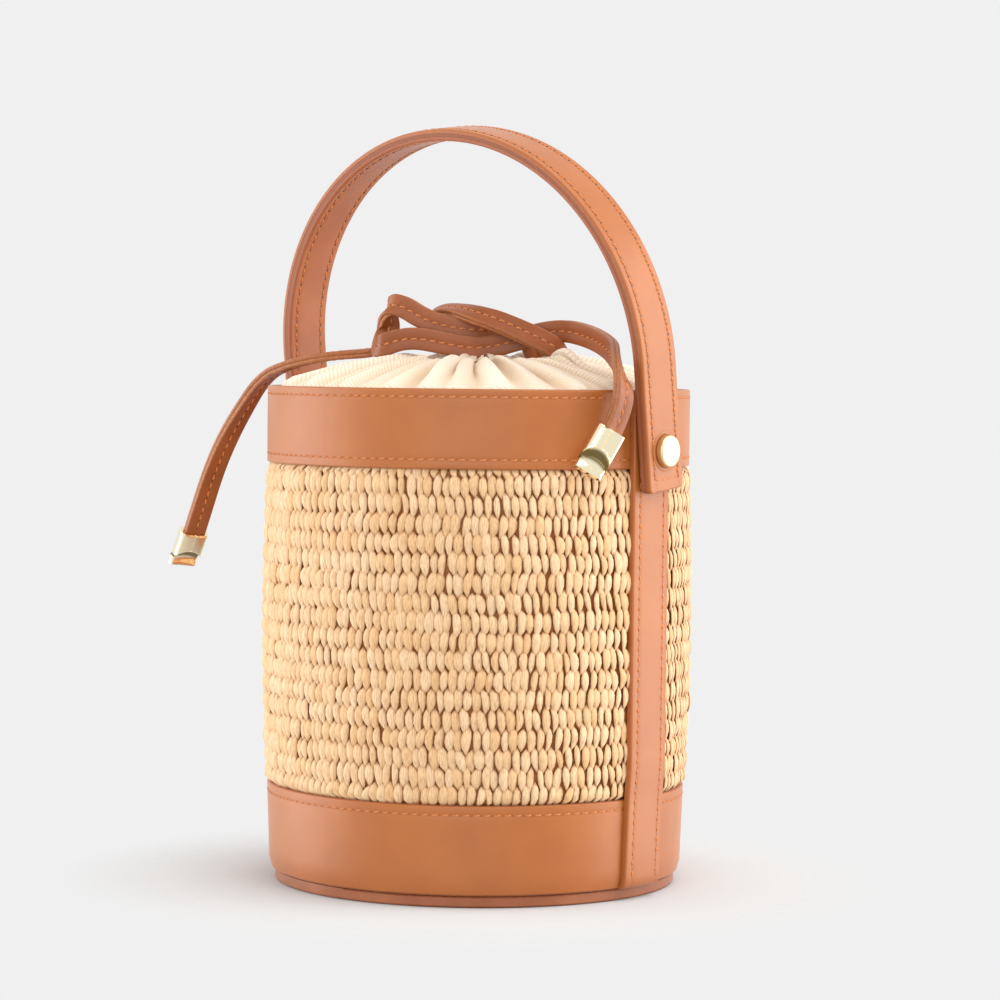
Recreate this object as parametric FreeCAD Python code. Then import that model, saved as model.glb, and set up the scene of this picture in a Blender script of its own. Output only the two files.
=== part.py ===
import FreeCAD
import Part

import math
import os

from FreeCAD import Vector

# Bucket bag: a drum of woven raffia between two leather bands, closed at the top by a
# gathered cotton pouch with flat leather laces, and carried by a strap handle that swings
# on two brass studs. Millimetres, +Z up, origin at the middle of the sole on the ground,
# -Y is the front and the studs lie on the X axis.

# Heights of the drum, from the ground up
SOLE_TOP = 3.8
BOTTOM_BAND_TOP = 34.8
TOP_BAND_FOOT = 147.8
RIM_Z = 174.8

# Outer radii
BODY_R = 75.0
BULGE_R = 76.2
BOTTOM_BAND_TOP_R = 74.2
BOTTOM_BAND_FOOT_R = 73.2
SEAM_R = 71.5
SOLE_R = 71.0

# Thicknesses and fits of the layers in the wall
LEATHER = 1.8
STRIP_THICKNESS = 2.1
GAP = 0.1
RAFFIA_INNER_R = 71.3
STIFFENER_INNER_R = 69.7
LINING_INNER_R = 69.0
SEAM_OVERLAP = 5.0
HALF_GAP = 0.15
TUCK_Z = 6.5
BOARD_THICKNESS = 2.5
LINING_THICKNESS = 0.6
WALL_FOOT = 7.3
POUCH_SEAM_Z = 160.3

# Side strips and the strap handle
STRIP_WIDTH = 20.0
STRAP_WIDTH = 19.5
STRAP_LEAN = 7.0
PIVOT_Z = 154.1
STRAP_HALF = 82.0
STRAP_RISE = 113.0
STRAP_TAIL = 13.7
STRAP_LAYERS = {"handle_outer": 1.7, "handle_core": 1.1, "handle_lining": 1.7}
APEX_X = -2.0
STRAP_CORNER_R = 2.0

# Brass studs: a post with a flat head, screwed from inside the bag
STUD_HEAD_R = 5.5
STUD_HEAD_THICKNESS = 2.4
STUD_HEAD_EDGE = 0.8
POST_R = 3.0
POST_BORE_R = 1.5
POST_BORE_DEPTH = 9.0
POST_RUNNING = 0.05
POST_HOLE_R = POST_R + GAP
WASHER_R = 6.0
WASHER_THICKNESS = 0.8
WASHER_HOLE_R = 1.7
SCREW_R = 1.45
SCREW_LENGTH = 8.0
SCREW_HEAD_R = 4.5
SCREW_HEAD_THICKNESS = 1.4

# Gathered pouch: the hem round its mouth is a channel for the drawn lace
MOUTH_R = 13.0
HEM_OUTER_R = 26.0
HEM_FOOT_Z = 177.8
HEM_TOP_Z = 185.0
CLOTH = 1.2
POUCH_SHOULDER_Z = 173.5
POUCH_DOME = [(69.5, 175.6), (60.0, 178.3), (45.0, 181.5), (32.0, 184.2)]
CHANNEL_R = 3.0

# Flat laces, kept as round bars of the same section area
LACE_BAR_R = 2.8
TIP_LENGTH = 16.5
TIP_WIDTH = 10.5
TIP_DEPTH = 5.5
TIP_EDGE = 1.4

# Each lace from where it leaves the hem to the mouth of its tip, then the tip's far end and
# the direction of its flat edge.
LEFT_LACE = [
    (29.5, 6.5, 180.5),
    (32.5, 5.0, 184.5),
    (32.5, 2.0, 189.0),
    (28.0, -2.0, 192.0),
    (22.5, -6.0, 195.0),
    (16.0, -9.5, 198.0),
    (8.5, -11.0, 200.0),
    (-2.0, -10.0, 202.0),
    (-10.5, -9.5, 202.0),
    (-17.0, -9.0, 198.0),
    (-20.0, -9.5, 192.5),
    (-24.0, -13.0, 189.0),
    (-28.5, -17.5, 188.0),
    (-34.0, -20.5, 186.5),
    (-41.0, -23.5, 186.0),
    (-50.5, -26.5, 185.0),
    (-63.5, -29.0, 182.5),
    (-76.5, -29.5, 178.0),
    (-87.5, -31.0, 163.0),
    (-93.5, -32.0, 153.0),
    (-99.5, -32.0, 142.0),
    (-105.5, -32.0, 127.5),
    (-110.5, -30.0, 120.0),
]
LEFT_TIP_END = (-119.9, -26.3, 107.3)
LEFT_TIP_ACROSS = (0.47, 0.88, -0.07)
RIGHT_LACE = [
    (18.0, 10.5, 184.9),
    (17.5, 9.5, 188.5),
    (15.5, 7.5, 192.5),
    (12.0, 3.5, 194.0),
    (8.0, -3.5, 195.0),
    (3.0, -10.0, 195.0),
    (-5.5, -16.0, 196.5),
    (-11.5, -19.5, 200.0),
    (-17.0, -22.5, 204.0),
    (-23.0, -25.0, 205.0),
    (-27.0, -25.5, 200.0),
    (-28.5, -24.5, 194.0),
    (-26.5, -28.5, 189.0),
    (-20.5, -31.0, 188.5),
    (-14.5, -29.0, 191.0),
    (-9.0, -25.0, 192.0),
    (-2.5, -19.5, 190.5),
    (5.5, -12.5, 188.5),
    (11.0, -7.0, 189.0),
    (17.5, -1.5, 191.5),
    (26.0, 5.0, 194.5),
    (33.5, 8.0, 195.0),
    (42.0, 7.0, 193.5),
    (52.5, 2.5, 191.0),
    (63.0, -4.5, 187.5),
    (73.0, -15.5, 182.5),
    (80.0, -21.0, 175.5),
    (79.0, -22.0, 167.0),
    (77.5, -25.0, 161.0),
]
RIGHT_TIP_END = (74.2, -33.2, 147.3)
RIGHT_TIP_ACROSS = (0.59, 0.48, -0.65)


def polygon_face(points):
    """Flat face in the XZ plane from (radius, height) points."""
    corners = [Vector(r, 0, z) for r, z in points]
    return Part.Face(Part.makePolygon(corners + corners[:1]))


def turned(face, start=0.0, sweep=360.0):
    """Solid made by turning a face in the XZ plane about Z, from one angle over a sweep."""
    solid = face.revolve(Vector(0, 0, 0), Vector(0, 0, 1), sweep)
    solid.rotate(Vector(0, 0, 0), Vector(0, 0, 1), start)
    return solid


def halves(face):
    """Front and back halves of a turned wall, parted at the side strips."""
    parting = math.degrees(HALF_GAP / BODY_R)
    sweep = 180 - 2 * parting
    return turned(face, 180 + parting, sweep), turned(face, parting, sweep)


def x_rod(radius, x0, x1, z=PIVOT_Z):
    """Cylinder along X between two positions, at the height of the studs."""
    low, high = min(x0, x1), max(x0, x1)
    return Part.makeCylinder(radius, high - low, Vector(low, 0, z), Vector(1, 0, 0))


def with_post_holes(solid):
    """The solid with a clear hole for each stud's post."""
    for side in (-1, 1):
        solid = solid.cut(x_rod(POST_HOLE_R, side * 55, side * 95))
    return solid


def sole():
    """Thick leather disc with eased edges."""
    disc = Part.makeCylinder(SOLE_R, SOLE_TOP)
    return disc.makeFillet(0.6, [e for e in disc.Edges if e.Length > 4 * SOLE_R])


def disc(radius, z, thickness):
    """Flat round plate."""
    return Part.makeCylinder(radius, thickness, Vector(0, 0, z))


def bottom_band_face():
    """Section of the bottom band: nearly straight, tucked in where it meets the sole."""
    outer = strip_seat()[:4]
    return polygon_face(outer + [(r - LEATHER, z) for r, z in reversed(outer)])


def raffia_face():
    """Section of the weave: crowned between the bands, pressed flat under their edges."""
    low, high = BOTTOM_BAND_TOP, TOP_BAND_FOOT
    low_r = BOTTOM_BAND_TOP_R - LEATHER - 3 * GAP
    high_r = BODY_R - LEATHER - GAP
    inner = RAFFIA_INNER_R
    path = [(inner, low - SEAM_OVERLAP), (low_r, low - SEAM_OVERLAP), (low_r, low + GAP)]
    path.append((BODY_R - 0.3, low + GAP))
    rest = [(BODY_R, high - GAP), (high_r, high - GAP), (high_r, high + SEAM_OVERLAP)]
    rest.append((inner, high + SEAM_OVERLAP))
    vectors = [Vector(r, 0, z) for r, z in path]
    crown = Part.Arc(
        vectors[-1], Vector(BULGE_R, 0, (low + high) / 2), Vector(rest[0][0], 0, rest[0][1])
    ).toShape()
    tail = [Vector(r, 0, z) for r, z in rest]
    edges = [Part.LineSegment(a, b).toShape() for a, b in zip(vectors, vectors[1:])]
    edges.append(crown)
    edges += [Part.LineSegment(a, b).toShape() for a, b in zip(tail, tail[1:])]
    edges.append(Part.LineSegment(tail[-1], vectors[0]).toShape())
    return Part.Face(Part.Wire(edges))


def strip_seat():
    """Line of (radius, height) points that the strips lie on, from the sole seam to the rim."""
    foot = SOLE_TOP + GAP
    seat = [(SEAM_R, foot), (SEAM_R + 1.1, foot + 0.9), (BOTTOM_BAND_FOOT_R, TUCK_Z)]
    seat += [(BOTTOM_BAND_TOP_R, BOTTOM_BAND_TOP), (BODY_R, BOTTOM_BAND_TOP + 12)]
    return seat + [(BODY_R, RIM_Z)]


def strip_recess():
    """Space beside each strip where the weave is pressed in to the strip's inner face."""
    seat = [(r - GAP, z) for r, z in strip_seat()[3:]]
    far = BODY_R + 10
    ring = turned(polygon_face(seat + [(far, RIM_Z), (far, BOTTOM_BAND_TOP)]))
    half = STRIP_WIDTH / 2 + GAP
    return ring.common(Part.makeBox(200, 2 * half, RIM_Z, Vector(-100, -half, 0)))


def raffia_panels():
    """Front and back panels of the woven wall."""
    recess = strip_recess()
    return [with_post_holes(panel.cut(recess)) for panel in halves(raffia_face())]


def top_bands():
    """Front and back halves of the rim band."""
    section = [(BODY_R - LEATHER, TOP_BAND_FOOT), (BODY_R, TOP_BAND_FOOT)]
    section += [(BODY_R, RIM_Z), (BODY_R - LEATHER, RIM_Z)]
    return [with_post_holes(half) for half in halves(polygon_face(section))]


def wall_tube(inner, outer, low, high):
    """Full ring of one wall layer."""
    return turned(polygon_face([(inner, low), (outer, low), (outer, high), (inner, high)]))


def side_strip(side):
    """Leather strip from the rim to the sole seam, lying on the bands and the weave."""
    near = [(r + GAP / 2, z) for r, z in strip_seat()]
    far = [(r + STRIP_THICKNESS, z) for r, z in reversed(near)]
    far[-1] = (SEAM_R + 1.0, near[0][1])
    blank = turned(polygon_face(near + far), -15, 30)
    half = STRIP_WIDTH / 2
    blank = blank.common(Part.makeBox(100, 2 * half, RIM_Z, Vector(0, -half, 0)))
    blank = blank.cut(x_rod(POST_HOLE_R, 60, 95))
    if side < 0:
        blank.rotate(Vector(0, 0, 0), Vector(0, 0, 1), 180)
    return blank


def strap_edge(offset):
    """Right-to-left points and arcs of the strap's line at a depth below its outer face."""
    right, left = STRAP_HALF - offset, -STRAP_HALF + offset
    top = STRAP_RISE - offset
    right_r = STRAP_HALF - APEX_X - offset
    left_r = STRAP_HALF + APEX_X - offset
    right_z, left_z = top - right_r, top - left_r
    diagonal = math.sqrt(0.5)
    points = [
        Vector(right, 0, -STRAP_TAIL),
        Vector(right, 0, right_z),
        Vector(APEX_X + right_r * diagonal, 0, right_z + right_r * diagonal),
        Vector(APEX_X, 0, top),
        Vector(APEX_X - left_r * diagonal, 0, left_z + left_r * diagonal),
        Vector(left, 0, left_z),
        Vector(left, 0, -STRAP_TAIL),
    ]
    edges = [
        Part.LineSegment(points[0], points[1]).toShape(),
        Part.Arc(points[1], points[2], points[3]).toShape(),
        Part.Arc(points[3], points[4], points[5]).toShape(),
        Part.LineSegment(points[5], points[6]).toShape(),
    ]
    return points[0], points[-1], edges


def strap_layer(near, far):
    """One layer of the strap between two depths, standing on the pivots and leaning forward."""
    start_a, end_a, outside = strap_edge(near)
    start_b, end_b, inside = strap_edge(far)
    ends = [Part.LineSegment(end_a, end_b).toShape(), Part.LineSegment(start_b, start_a).toShape()]
    wire = Part.Wire(Part.__sortEdges__(outside + inside + ends))
    half = STRAP_WIDTH / 2
    layer = Part.Face(wire).extrude(Vector(0, STRAP_WIDTH, 0))
    layer.translate(Vector(0, -half, 0))
    corners = [e for e in layer.Edges if is_end_corner(e, half)]
    layer = layer.makeFillet(STRAP_CORNER_R, corners)
    layer.translate(Vector(0, 0, PIVOT_Z))
    for side in (-1, 1):
        layer = layer.cut(x_rod(POST_R + POST_RUNNING, side * 70, side * 90))
    layer.rotate(Vector(0, 0, PIVOT_Z), Vector(1, 0, 0), STRAP_LEAN)
    return layer


def is_end_corner(edge, half):
    """True for the short edges across the strap's thickness at its two ends."""
    box = edge.BoundBox
    at_end = abs(box.ZMin + STRAP_TAIL) < 1e-6 and abs(box.ZMax + STRAP_TAIL) < 1e-6
    return at_end and box.XLength > 1e-3 and abs(abs(box.YMin) - half) < 1e-6 and box.YLength < 1e-6


def stud(side):
    """Flat round head on a hollow post through the strap and the wall."""
    head_x = STRAP_HALF + 0.2
    head = x_rod(STUD_HEAD_R, head_x, head_x + STUD_HEAD_THICKNESS)
    rim = [e for e in head.Edges if abs(e.BoundBox.XMin - head_x - STUD_HEAD_THICKNESS) < 1e-6]
    head = head.makeFillet(STUD_HEAD_EDGE, rim)
    inner_end = LINING_INNER_R - 0.2
    post = x_rod(POST_R, inner_end, head_x)
    bore = x_rod(POST_BORE_R, inner_end, inner_end + POST_BORE_DEPTH)
    return on_side(head.fuse(post).cut(bore), side)


def stud_washer(side):
    """Flat ring under the screw's head, inside the bag."""
    x = washer_x()
    ring = x_rod(WASHER_R, x, x + WASHER_THICKNESS)
    return on_side(ring.cut(x_rod(WASHER_HOLE_R, x - 1, x + 2)), side)


def stud_screw(side):
    """Screw with a low round head that closes the stud from inside."""
    x = washer_x()
    head = x_rod(SCREW_HEAD_R, x - SCREW_HEAD_THICKNESS, x)
    shank = x_rod(SCREW_R, x, x + SCREW_LENGTH)
    return on_side(head.fuse(shank), side)


def washer_x():
    """Inner face of the washer, flat against the curved lining."""
    sagitta = LINING_INNER_R - math.sqrt(LINING_INNER_R**2 - WASHER_R**2)
    return LINING_INNER_R - sagitta - GAP - WASHER_THICKNESS


def on_side(solid, side):
    """The right-hand solid, or its half turn about Z for the left side."""
    if side < 0:
        solid.rotate(Vector(0, 0, 0), Vector(0, 0, 1), 180)
    return solid


def pouch_collar():
    """Cotton dome with a thick hem round its mouth, hollow where the drawn lace runs."""
    seam_r = RAFFIA_INNER_R - GAP
    outer = [(seam_r, POUCH_SEAM_Z), (seam_r, POUCH_SHOULDER_Z)] + POUCH_DOME
    outer += [(HEM_OUTER_R, HEM_TOP_Z), (MOUTH_R, HEM_TOP_Z)]
    inner = [(MOUTH_R, HEM_FOOT_Z), (HEM_OUTER_R, HEM_FOOT_Z)]
    inner += [(r - 0.3, z - CLOTH) for r, z in reversed(POUCH_DOME)]
    inner += [(seam_r - CLOTH, POUCH_SHOULDER_Z - 0.5), (seam_r - CLOTH, POUCH_SEAM_Z)]
    channel = Part.makeTorus(channel_radius(), CHANNEL_R, Vector(0, 0, channel_z()))
    return turned(polygon_face(outer + inner)).cut(channel)


def channel_radius():
    """Middle of the hem."""
    return (MOUTH_R + HEM_OUTER_R) / 2


def channel_z():
    """Mid height of the hem."""
    return (HEM_FOOT_Z + HEM_TOP_Z) / 2


def channel_lace():
    """The stretch of lace drawn round the mouth inside the hem."""
    return Part.makeTorus(channel_radius(), LACE_BAR_R, Vector(0, 0, channel_z()))


def rounded_path(points):
    """Straight runs joined by tangent arcs, each as large as its two runs allow."""
    corners = [Vector(*p) for p in points]
    edges, radii = [], []
    start = corners[0]
    for before, corner, after in zip(corners, corners[1:], corners[2:]):
        back, ahead = before - corner, after - corner
        shorter = min(back.Length, ahead.Length)
        turn = math.pi - back.getAngle(ahead)
        reach = 0.45 * shorter
        radii.append(reach / math.tan(turn / 2))
        back.normalize()
        ahead.normalize()
        enter, leave = corner + back * reach, corner + ahead * reach
        inward = (back + ahead).normalize()
        middle = corner + inward * (radii[-1] / math.cos(turn / 2) - radii[-1])
        edges.append(Part.LineSegment(start, enter).toShape())
        edges.append(Part.Arc(enter, middle, leave).toShape())
        start = leave
    edges.append(Part.LineSegment(start, corners[-1]).toShape())
    return Part.Wire(edges), radii


def lace_bar(name, points):
    """Round bar along a lace's route. Prints its length, its radii and its volume check."""
    path, radii = rounded_path(points)
    first = Vector(*points[1]) - Vector(*points[0])
    section = Part.Wire(Part.makeCircle(LACE_BAR_R, Vector(*points[0]), first))
    bar = path.makePipeShell([section], True, False)
    ratio = bar.Volume / (math.pi * LACE_BAR_R**2 * path.Length)
    print(name, "length %.1f" % path.Length, "volume ratio %.4f" % ratio)
    print(name, "radii", " ".join("%.1f" % r for r in radii))
    return bar


def lace_tip(mouth, end, edge_direction):
    """Folded brass cap: an oblong mouth block that thins to a straight chisel edge."""
    base = Part.makeBox(TIP_WIDTH, TIP_DEPTH, TIP_LENGTH, Vector(-TIP_WIDTH / 2, -TIP_DEPTH / 2, 0))
    upright = [e for e in base.Edges if abs(e.BoundBox.ZLength - TIP_LENGTH) < 1e-6]
    base = base.makeFillet(TIP_DEPTH * 0.45, upright)
    start = TIP_LENGTH * 0.45
    wedge = [(TIP_DEPTH, start), (TIP_DEPTH / 2, start), (TIP_EDGE - TIP_DEPTH / 2, TIP_LENGTH)]
    wedge += [(TIP_EDGE - TIP_DEPTH / 2, TIP_LENGTH + 1), (TIP_DEPTH, TIP_LENGTH + 1)]
    corners = [Vector(-TIP_WIDTH, y, z) for y, z in wedge]
    cutter = Part.Face(Part.makePolygon(corners + corners[:1]))
    cap = base.cut(cutter.extrude(Vector(2 * TIP_WIDTH, 0, 0)))
    axis = (Vector(*end) - Vector(*mouth)).normalize()
    across = Vector(*edge_direction)
    across = (across - axis * across.dot(axis)).normalize()
    depth = axis.cross(across)
    matrix = FreeCAD.Matrix(
        across.x, depth.x, axis.x, mouth[0],
        across.y, depth.y, axis.y, mouth[1],
        across.z, depth.z, axis.z, mouth[2],
        0, 0, 0, 1,
    )
    cap.Placement = FreeCAD.Placement(matrix)
    return cap


def build():
    """Every named piece of the bag."""
    pieces = {"sole": sole()}
    board_z = SOLE_TOP + GAP
    board_r = SEAM_R - LEATHER - GAP
    pieces["base_board"] = disc(board_r, board_z, BOARD_THICKNESS)
    lining_z = board_z + BOARD_THICKNESS + GAP
    pieces["base_lining"] = disc(LINING_INNER_R - GAP, lining_z, LINING_THICKNESS)
    for name, parts in (
        ("bottom_band", halves(bottom_band_face())),
        ("raffia", raffia_panels()),
        ("top_band", top_bands()),
    ):
        pieces[name + "_front"], pieces[name + "_back"] = parts
    facing = wall_tube(RAFFIA_INNER_R, BODY_R - LEATHER - GAP, TOP_BAND_FOOT + 5.2, RIM_Z)
    pieces["rim_facing"] = with_post_holes(facing)
    stiffener = wall_tube(STIFFENER_INNER_R, RAFFIA_INNER_R - GAP, WALL_FOOT, POUCH_SEAM_Z - GAP)
    pieces["wall_stiffener"] = with_post_holes(stiffener)
    lining = wall_tube(LINING_INNER_R, STIFFENER_INNER_R - GAP, WALL_FOOT, POUCH_SEAM_Z - GAP)
    pieces["wall_lining"] = with_post_holes(lining)
    pieces["pouch_collar"] = pouch_collar()
    pieces["channel_lace"] = channel_lace()
    for word, side in (("right", 1), ("left", -1)):
        pieces[word + "_strip"] = side_strip(side)
        pieces[word + "_stud"] = stud(side)
        pieces[word + "_stud_washer"] = stud_washer(side)
        pieces[word + "_stud_screw"] = stud_screw(side)
    depth = 0.0
    for name, thickness in STRAP_LAYERS.items():
        pieces[name] = strap_layer(depth, depth + thickness)
        depth += thickness
    pieces["left_lace"] = lace_bar("left_lace", LEFT_LACE)
    pieces["right_lace"] = lace_bar("right_lace", RIGHT_LACE)
    pieces["left_lace_tip"] = lace_tip(LEFT_LACE[-1], LEFT_TIP_END, LEFT_TIP_ACROSS)
    pieces["right_lace_tip"] = lace_tip(RIGHT_LACE[-1], RIGHT_TIP_END, RIGHT_TIP_ACROSS)
    return pieces


os.makedirs("parts", exist_ok=True)
for node, shape in build().items():
    solids = shape.Solids
    print(node, "solids", len(solids), "valid", shape.isValid(), "volume %.0f" % shape.Volume)
    shape.exportStep("parts/%s.step" % node)
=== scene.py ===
"""Looks of the bucket bag: woven raffia drum, tan leather bands, strap handle, gathered pouch and flat laces."""

import logging
import math
from dataclasses import dataclass, field
from enum import Enum

import bpy
import numpy as np
from mathutils import Matrix, Vector


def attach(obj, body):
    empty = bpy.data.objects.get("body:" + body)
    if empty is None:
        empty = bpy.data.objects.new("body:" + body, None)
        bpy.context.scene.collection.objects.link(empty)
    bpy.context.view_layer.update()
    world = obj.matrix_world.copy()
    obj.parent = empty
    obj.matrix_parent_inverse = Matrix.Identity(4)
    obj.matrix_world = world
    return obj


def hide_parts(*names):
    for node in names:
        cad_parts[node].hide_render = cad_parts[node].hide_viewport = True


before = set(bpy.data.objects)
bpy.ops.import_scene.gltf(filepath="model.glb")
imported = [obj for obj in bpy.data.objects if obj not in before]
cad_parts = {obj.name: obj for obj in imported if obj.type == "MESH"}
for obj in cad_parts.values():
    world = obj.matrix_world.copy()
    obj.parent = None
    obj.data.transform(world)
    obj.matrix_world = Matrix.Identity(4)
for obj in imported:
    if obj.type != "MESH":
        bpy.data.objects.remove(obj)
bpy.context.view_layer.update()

MM = 0.001
LOG = logging.getLogger("bucket_bag")

# Heights and radii that the leather pieces share with the solids, in millimetres.
BOTTOM_BAND_TOP = 34.8
TOP_BAND_FOOT = 147.8
RIM_Z = 174.8
BODY_R = 75.0
PIVOT_Z = 154.1
# Outer line of the bottom band as (radius, height): turned in at the sole, then almost upright.
FOOT_LINE = ((71.5, 3.9), (72.6, 4.8), (73.2, 6.5), (74.2, BOTTOM_BAND_TOP))
# How far a side strip's seams are from its middle, and the angle from there at which a band's seams end.
STRIP_SEAM_MM = 6.75
BAND_SEAM_END_DEG = 8.2

# Each lace from where it leaves the hem to the mouth of its tip, in metres.
LEFT_LACE = [
    (0.0295, 0.0065, 0.1805), (0.0325, 0.0050, 0.1845), (0.0325, 0.0020, 0.1890),
    (0.0280, -0.0020, 0.1920), (0.0225, -0.0060, 0.1950), (0.0160, -0.0095, 0.1980),
    (0.0085, -0.0110, 0.2000), (-0.0020, -0.0100, 0.2020), (-0.0105, -0.0095, 0.2020),
    (-0.0170, -0.0090, 0.1980), (-0.0200, -0.0095, 0.1925), (-0.0240, -0.0130, 0.1890),
    (-0.0285, -0.0175, 0.1880), (-0.0340, -0.0205, 0.1865), (-0.0410, -0.0235, 0.1860),
    (-0.0505, -0.0265, 0.1850), (-0.0635, -0.0290, 0.1825), (-0.0765, -0.0295, 0.1780),
    (-0.0875, -0.0310, 0.1630), (-0.0935, -0.0320, 0.1530), (-0.0995, -0.0320, 0.1420),
    (-0.1055, -0.0320, 0.1275), (-0.1105, -0.0300, 0.1200),
]
RIGHT_LACE = [
    (0.0180, 0.0105, 0.1849), (0.0175, 0.0095, 0.1885), (0.0155, 0.0075, 0.1925),
    (0.0120, 0.0035, 0.1940), (0.0080, -0.0035, 0.1950), (0.0030, -0.0100, 0.1950),
    (-0.0055, -0.0160, 0.1965), (-0.0115, -0.0195, 0.1995), (-0.0165, -0.0220, 0.2030),
    (-0.0208, -0.0236, 0.2038), (-0.0235, -0.0228, 0.1998), (-0.0246, -0.0208, 0.1942),
    (-0.0236, -0.0264, 0.1890), (-0.0205, -0.0310, 0.1885), (-0.0145, -0.0290, 0.1910),
    (-0.0090, -0.0250, 0.1920), (-0.0025, -0.0195, 0.1905), (0.0055, -0.0125, 0.1885),
    (0.0110, -0.0070, 0.1890), (0.0175, -0.0015, 0.1915), (0.0260, 0.0050, 0.1945),
    (0.0335, 0.0080, 0.1950), (0.0420, 0.0070, 0.1935), (0.0525, 0.0025, 0.1910),
    (0.0630, -0.0045, 0.1875), (0.0730, -0.0155, 0.1825), (0.0800, -0.0210, 0.1755),
    (0.0790, -0.0220, 0.1670), (0.0775, -0.0250, 0.1610),
]
# Width direction of each lace at some of its route's points: (number of the point, direction).
LEFT_ACROSS = (
    (0, (0.35, 0.9, 0.1)), (2, (0.1, 0.5, 0.7)), (3, (-0.2, 0.25, 0.95)), (5, (-0.38, 0.5, 0.78)),
    (6, (-0.5, 0.65, 0.57)), (7, (-0.55, 0.78, 0.3)), (8, (-0.5, 0.84, 0.18)), (9, (-0.4, 0.85, 0.35)),
    (11, (-0.3, 0.93, 0.1)), (16, (-0.36, 0.93, 0.0)), (17, (-0.2, 0.97, 0.0)), (19, (0.25, 0.95, -0.05)),
    (22, (0.47, 0.88, -0.07)),
)
RIGHT_ACROSS = (
    (0, (0.4, 0.5, 0.3)), (2, (0.1, 0.2, 1.0)), (5, (0.0, 0.1, 1.0)), (8, (0.0, 0.0, 1.0)), (9, (0.1, 0.25, 0.9)),
    (10, (0.05, 0.75, 0.55)), (11, (0.5, 0.75, 0.0)), (12, (0.6, 0.35, 0.55)), (13, (0.1, 0.0, 1.0)),
    (16, (0.0, 0.0, 1.0)), (22, (0.0, 0.0, 1.0)), (24, (0.0, 0.1, 1.0)), (25, (0.1, -0.5, 0.85)),
    (26, (-0.1, -0.85, 0.45)), (27, (-0.1, -0.95, 0.3)), (28, (-0.13, -0.84, 0.56)),
)


class Side(Enum):
    """Which end of the X axis a piece stands on."""

    RIGHT = 1
    LEFT = -1


class Half(Enum):
    """Front or back half of the turned wall, as the angle where it starts."""

    FRONT = 180.0
    BACK = 0.0


# ---------------------------------------------------------------- meshes


def unit(vectors: np.ndarray) -> np.ndarray:
    """Rows scaled to length one."""
    return vectors / np.maximum(np.linalg.norm(vectors, axis=-1, keepdims=True), 1e-12)


def resample(line: np.ndarray, spacing: float) -> np.ndarray:
    """Rows at equal steps along a line: each column read off at equal running lengths.

    Args:
        line: Rows whose first three columns are a position. Other columns ride along.
        spacing: Wanted step, in the line's own unit.

    Returns:
        The rows at equal steps, both ends kept.
    """
    steps = np.linalg.norm(np.diff(line[:, :3], axis=0), axis=1)
    run = np.concatenate([[0.0], np.cumsum(steps)])
    count = max(int(round(run[-1] / spacing)), 2)
    at = np.linspace(0.0, run[-1], count + 1)
    return np.stack([np.interp(at, run, line[:, k]) for k in range(line.shape[1])], axis=1)


def noise_wave(angle: np.ndarray, seed: int, waves: int, lowest: int, highest: int) -> np.ndarray:
    """Smooth closed wobble round a circle: a sum of sines of whole frequencies, of size about one.

    Args:
        angle: Angles in radians.
        seed: Seed of the phases and weights.
        waves: Number of sines.
        lowest: Lowest frequency.
        highest: Highest frequency.

    Returns:
        The wobble at each angle.
    """
    rng = np.random.default_rng(seed)
    total = np.zeros_like(angle)
    for _ in range(waves):
        total = total + rng.normal() * np.sin(rng.integers(lowest, highest + 1) * angle + rng.uniform(0, 6.28))
    return total / math.sqrt(waves)


def eased(x: np.ndarray) -> np.ndarray:
    """Smooth step from 0 to 1: 3x squared less 2x cubed, held flat outside."""
    x = np.clip(x, 0.0, 1.0)
    return x * x * (3.0 - 2.0 * x)


def corner_drop(distance: np.ndarray, radius: float) -> np.ndarray:
    """How far a rounded edge has fallen at a distance from it: the radius less the height of a quarter circle."""
    inside = np.clip(radius - distance, 0.0, radius)
    return radius - np.sqrt(np.maximum(radius**2 - inside**2, 0.0))


@dataclass
class Shell:
    """A closed mesh being made: points in metres, faces, and a value at each point for the finishes."""

    points: np.ndarray
    quads: np.ndarray
    tris: np.ndarray
    values: dict[str, np.ndarray] = field(default_factory=dict)

    def outward(self) -> "Shell":
        """The shell with its faces turned so that its enclosed volume is positive.

        Returns:
            The same shell.
        """
        corners = np.concatenate([self.quads[:, [0, 1, 2]], self.quads[:, [0, 2, 3]], self.tris])
        a, b, c = (self.points[corners[:, k]] for k in range(3))
        if np.einsum("ij,ij->i", a, np.cross(b, c)).sum() < 0:
            self.quads, self.tris = self.quads[:, ::-1], self.tris[:, ::-1]
        return self

    def joined(self, other: "Shell") -> "Shell":
        """Both shells as one, values kept by name.

        Args:
            other: A shell with the same named values.

        Returns:
            The joined shell.
        """
        shift = len(self.points)
        values = {k: np.concatenate([v, other.values[k]]) for k, v in self.values.items()}
        return Shell(
            np.concatenate([self.points, other.points]),
            np.concatenate([self.quads, other.quads + shift]),
            np.concatenate([self.tris, other.tris + shift]),
            values,
        )

    def placed(self, origins: np.ndarray, axes: np.ndarray) -> "Shell":
        """Copies of the shell, one for each origin and each three axes given as rows.

        Args:
            origins: Where each copy stands.
            axes: Three rows for each copy: where its X, Y and Z point.

        Returns:
            All the copies as one shell.
        """
        count, size = len(origins), len(self.points)
        points = np.einsum("pi,kij->kpj", self.points, axes) + origins[:, None, :]
        shift = (np.arange(count) * size)[:, None, None]
        values = {k: np.tile(v, (count,) + (1,) * (v.ndim - 1)) for k, v in self.values.items()}
        return Shell(
            points.reshape(-1, 3),
            (self.quads[None] + shift).reshape(-1, 4),
            (self.tris[None] + shift).reshape(-1, 3),
            values,
        )


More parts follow.
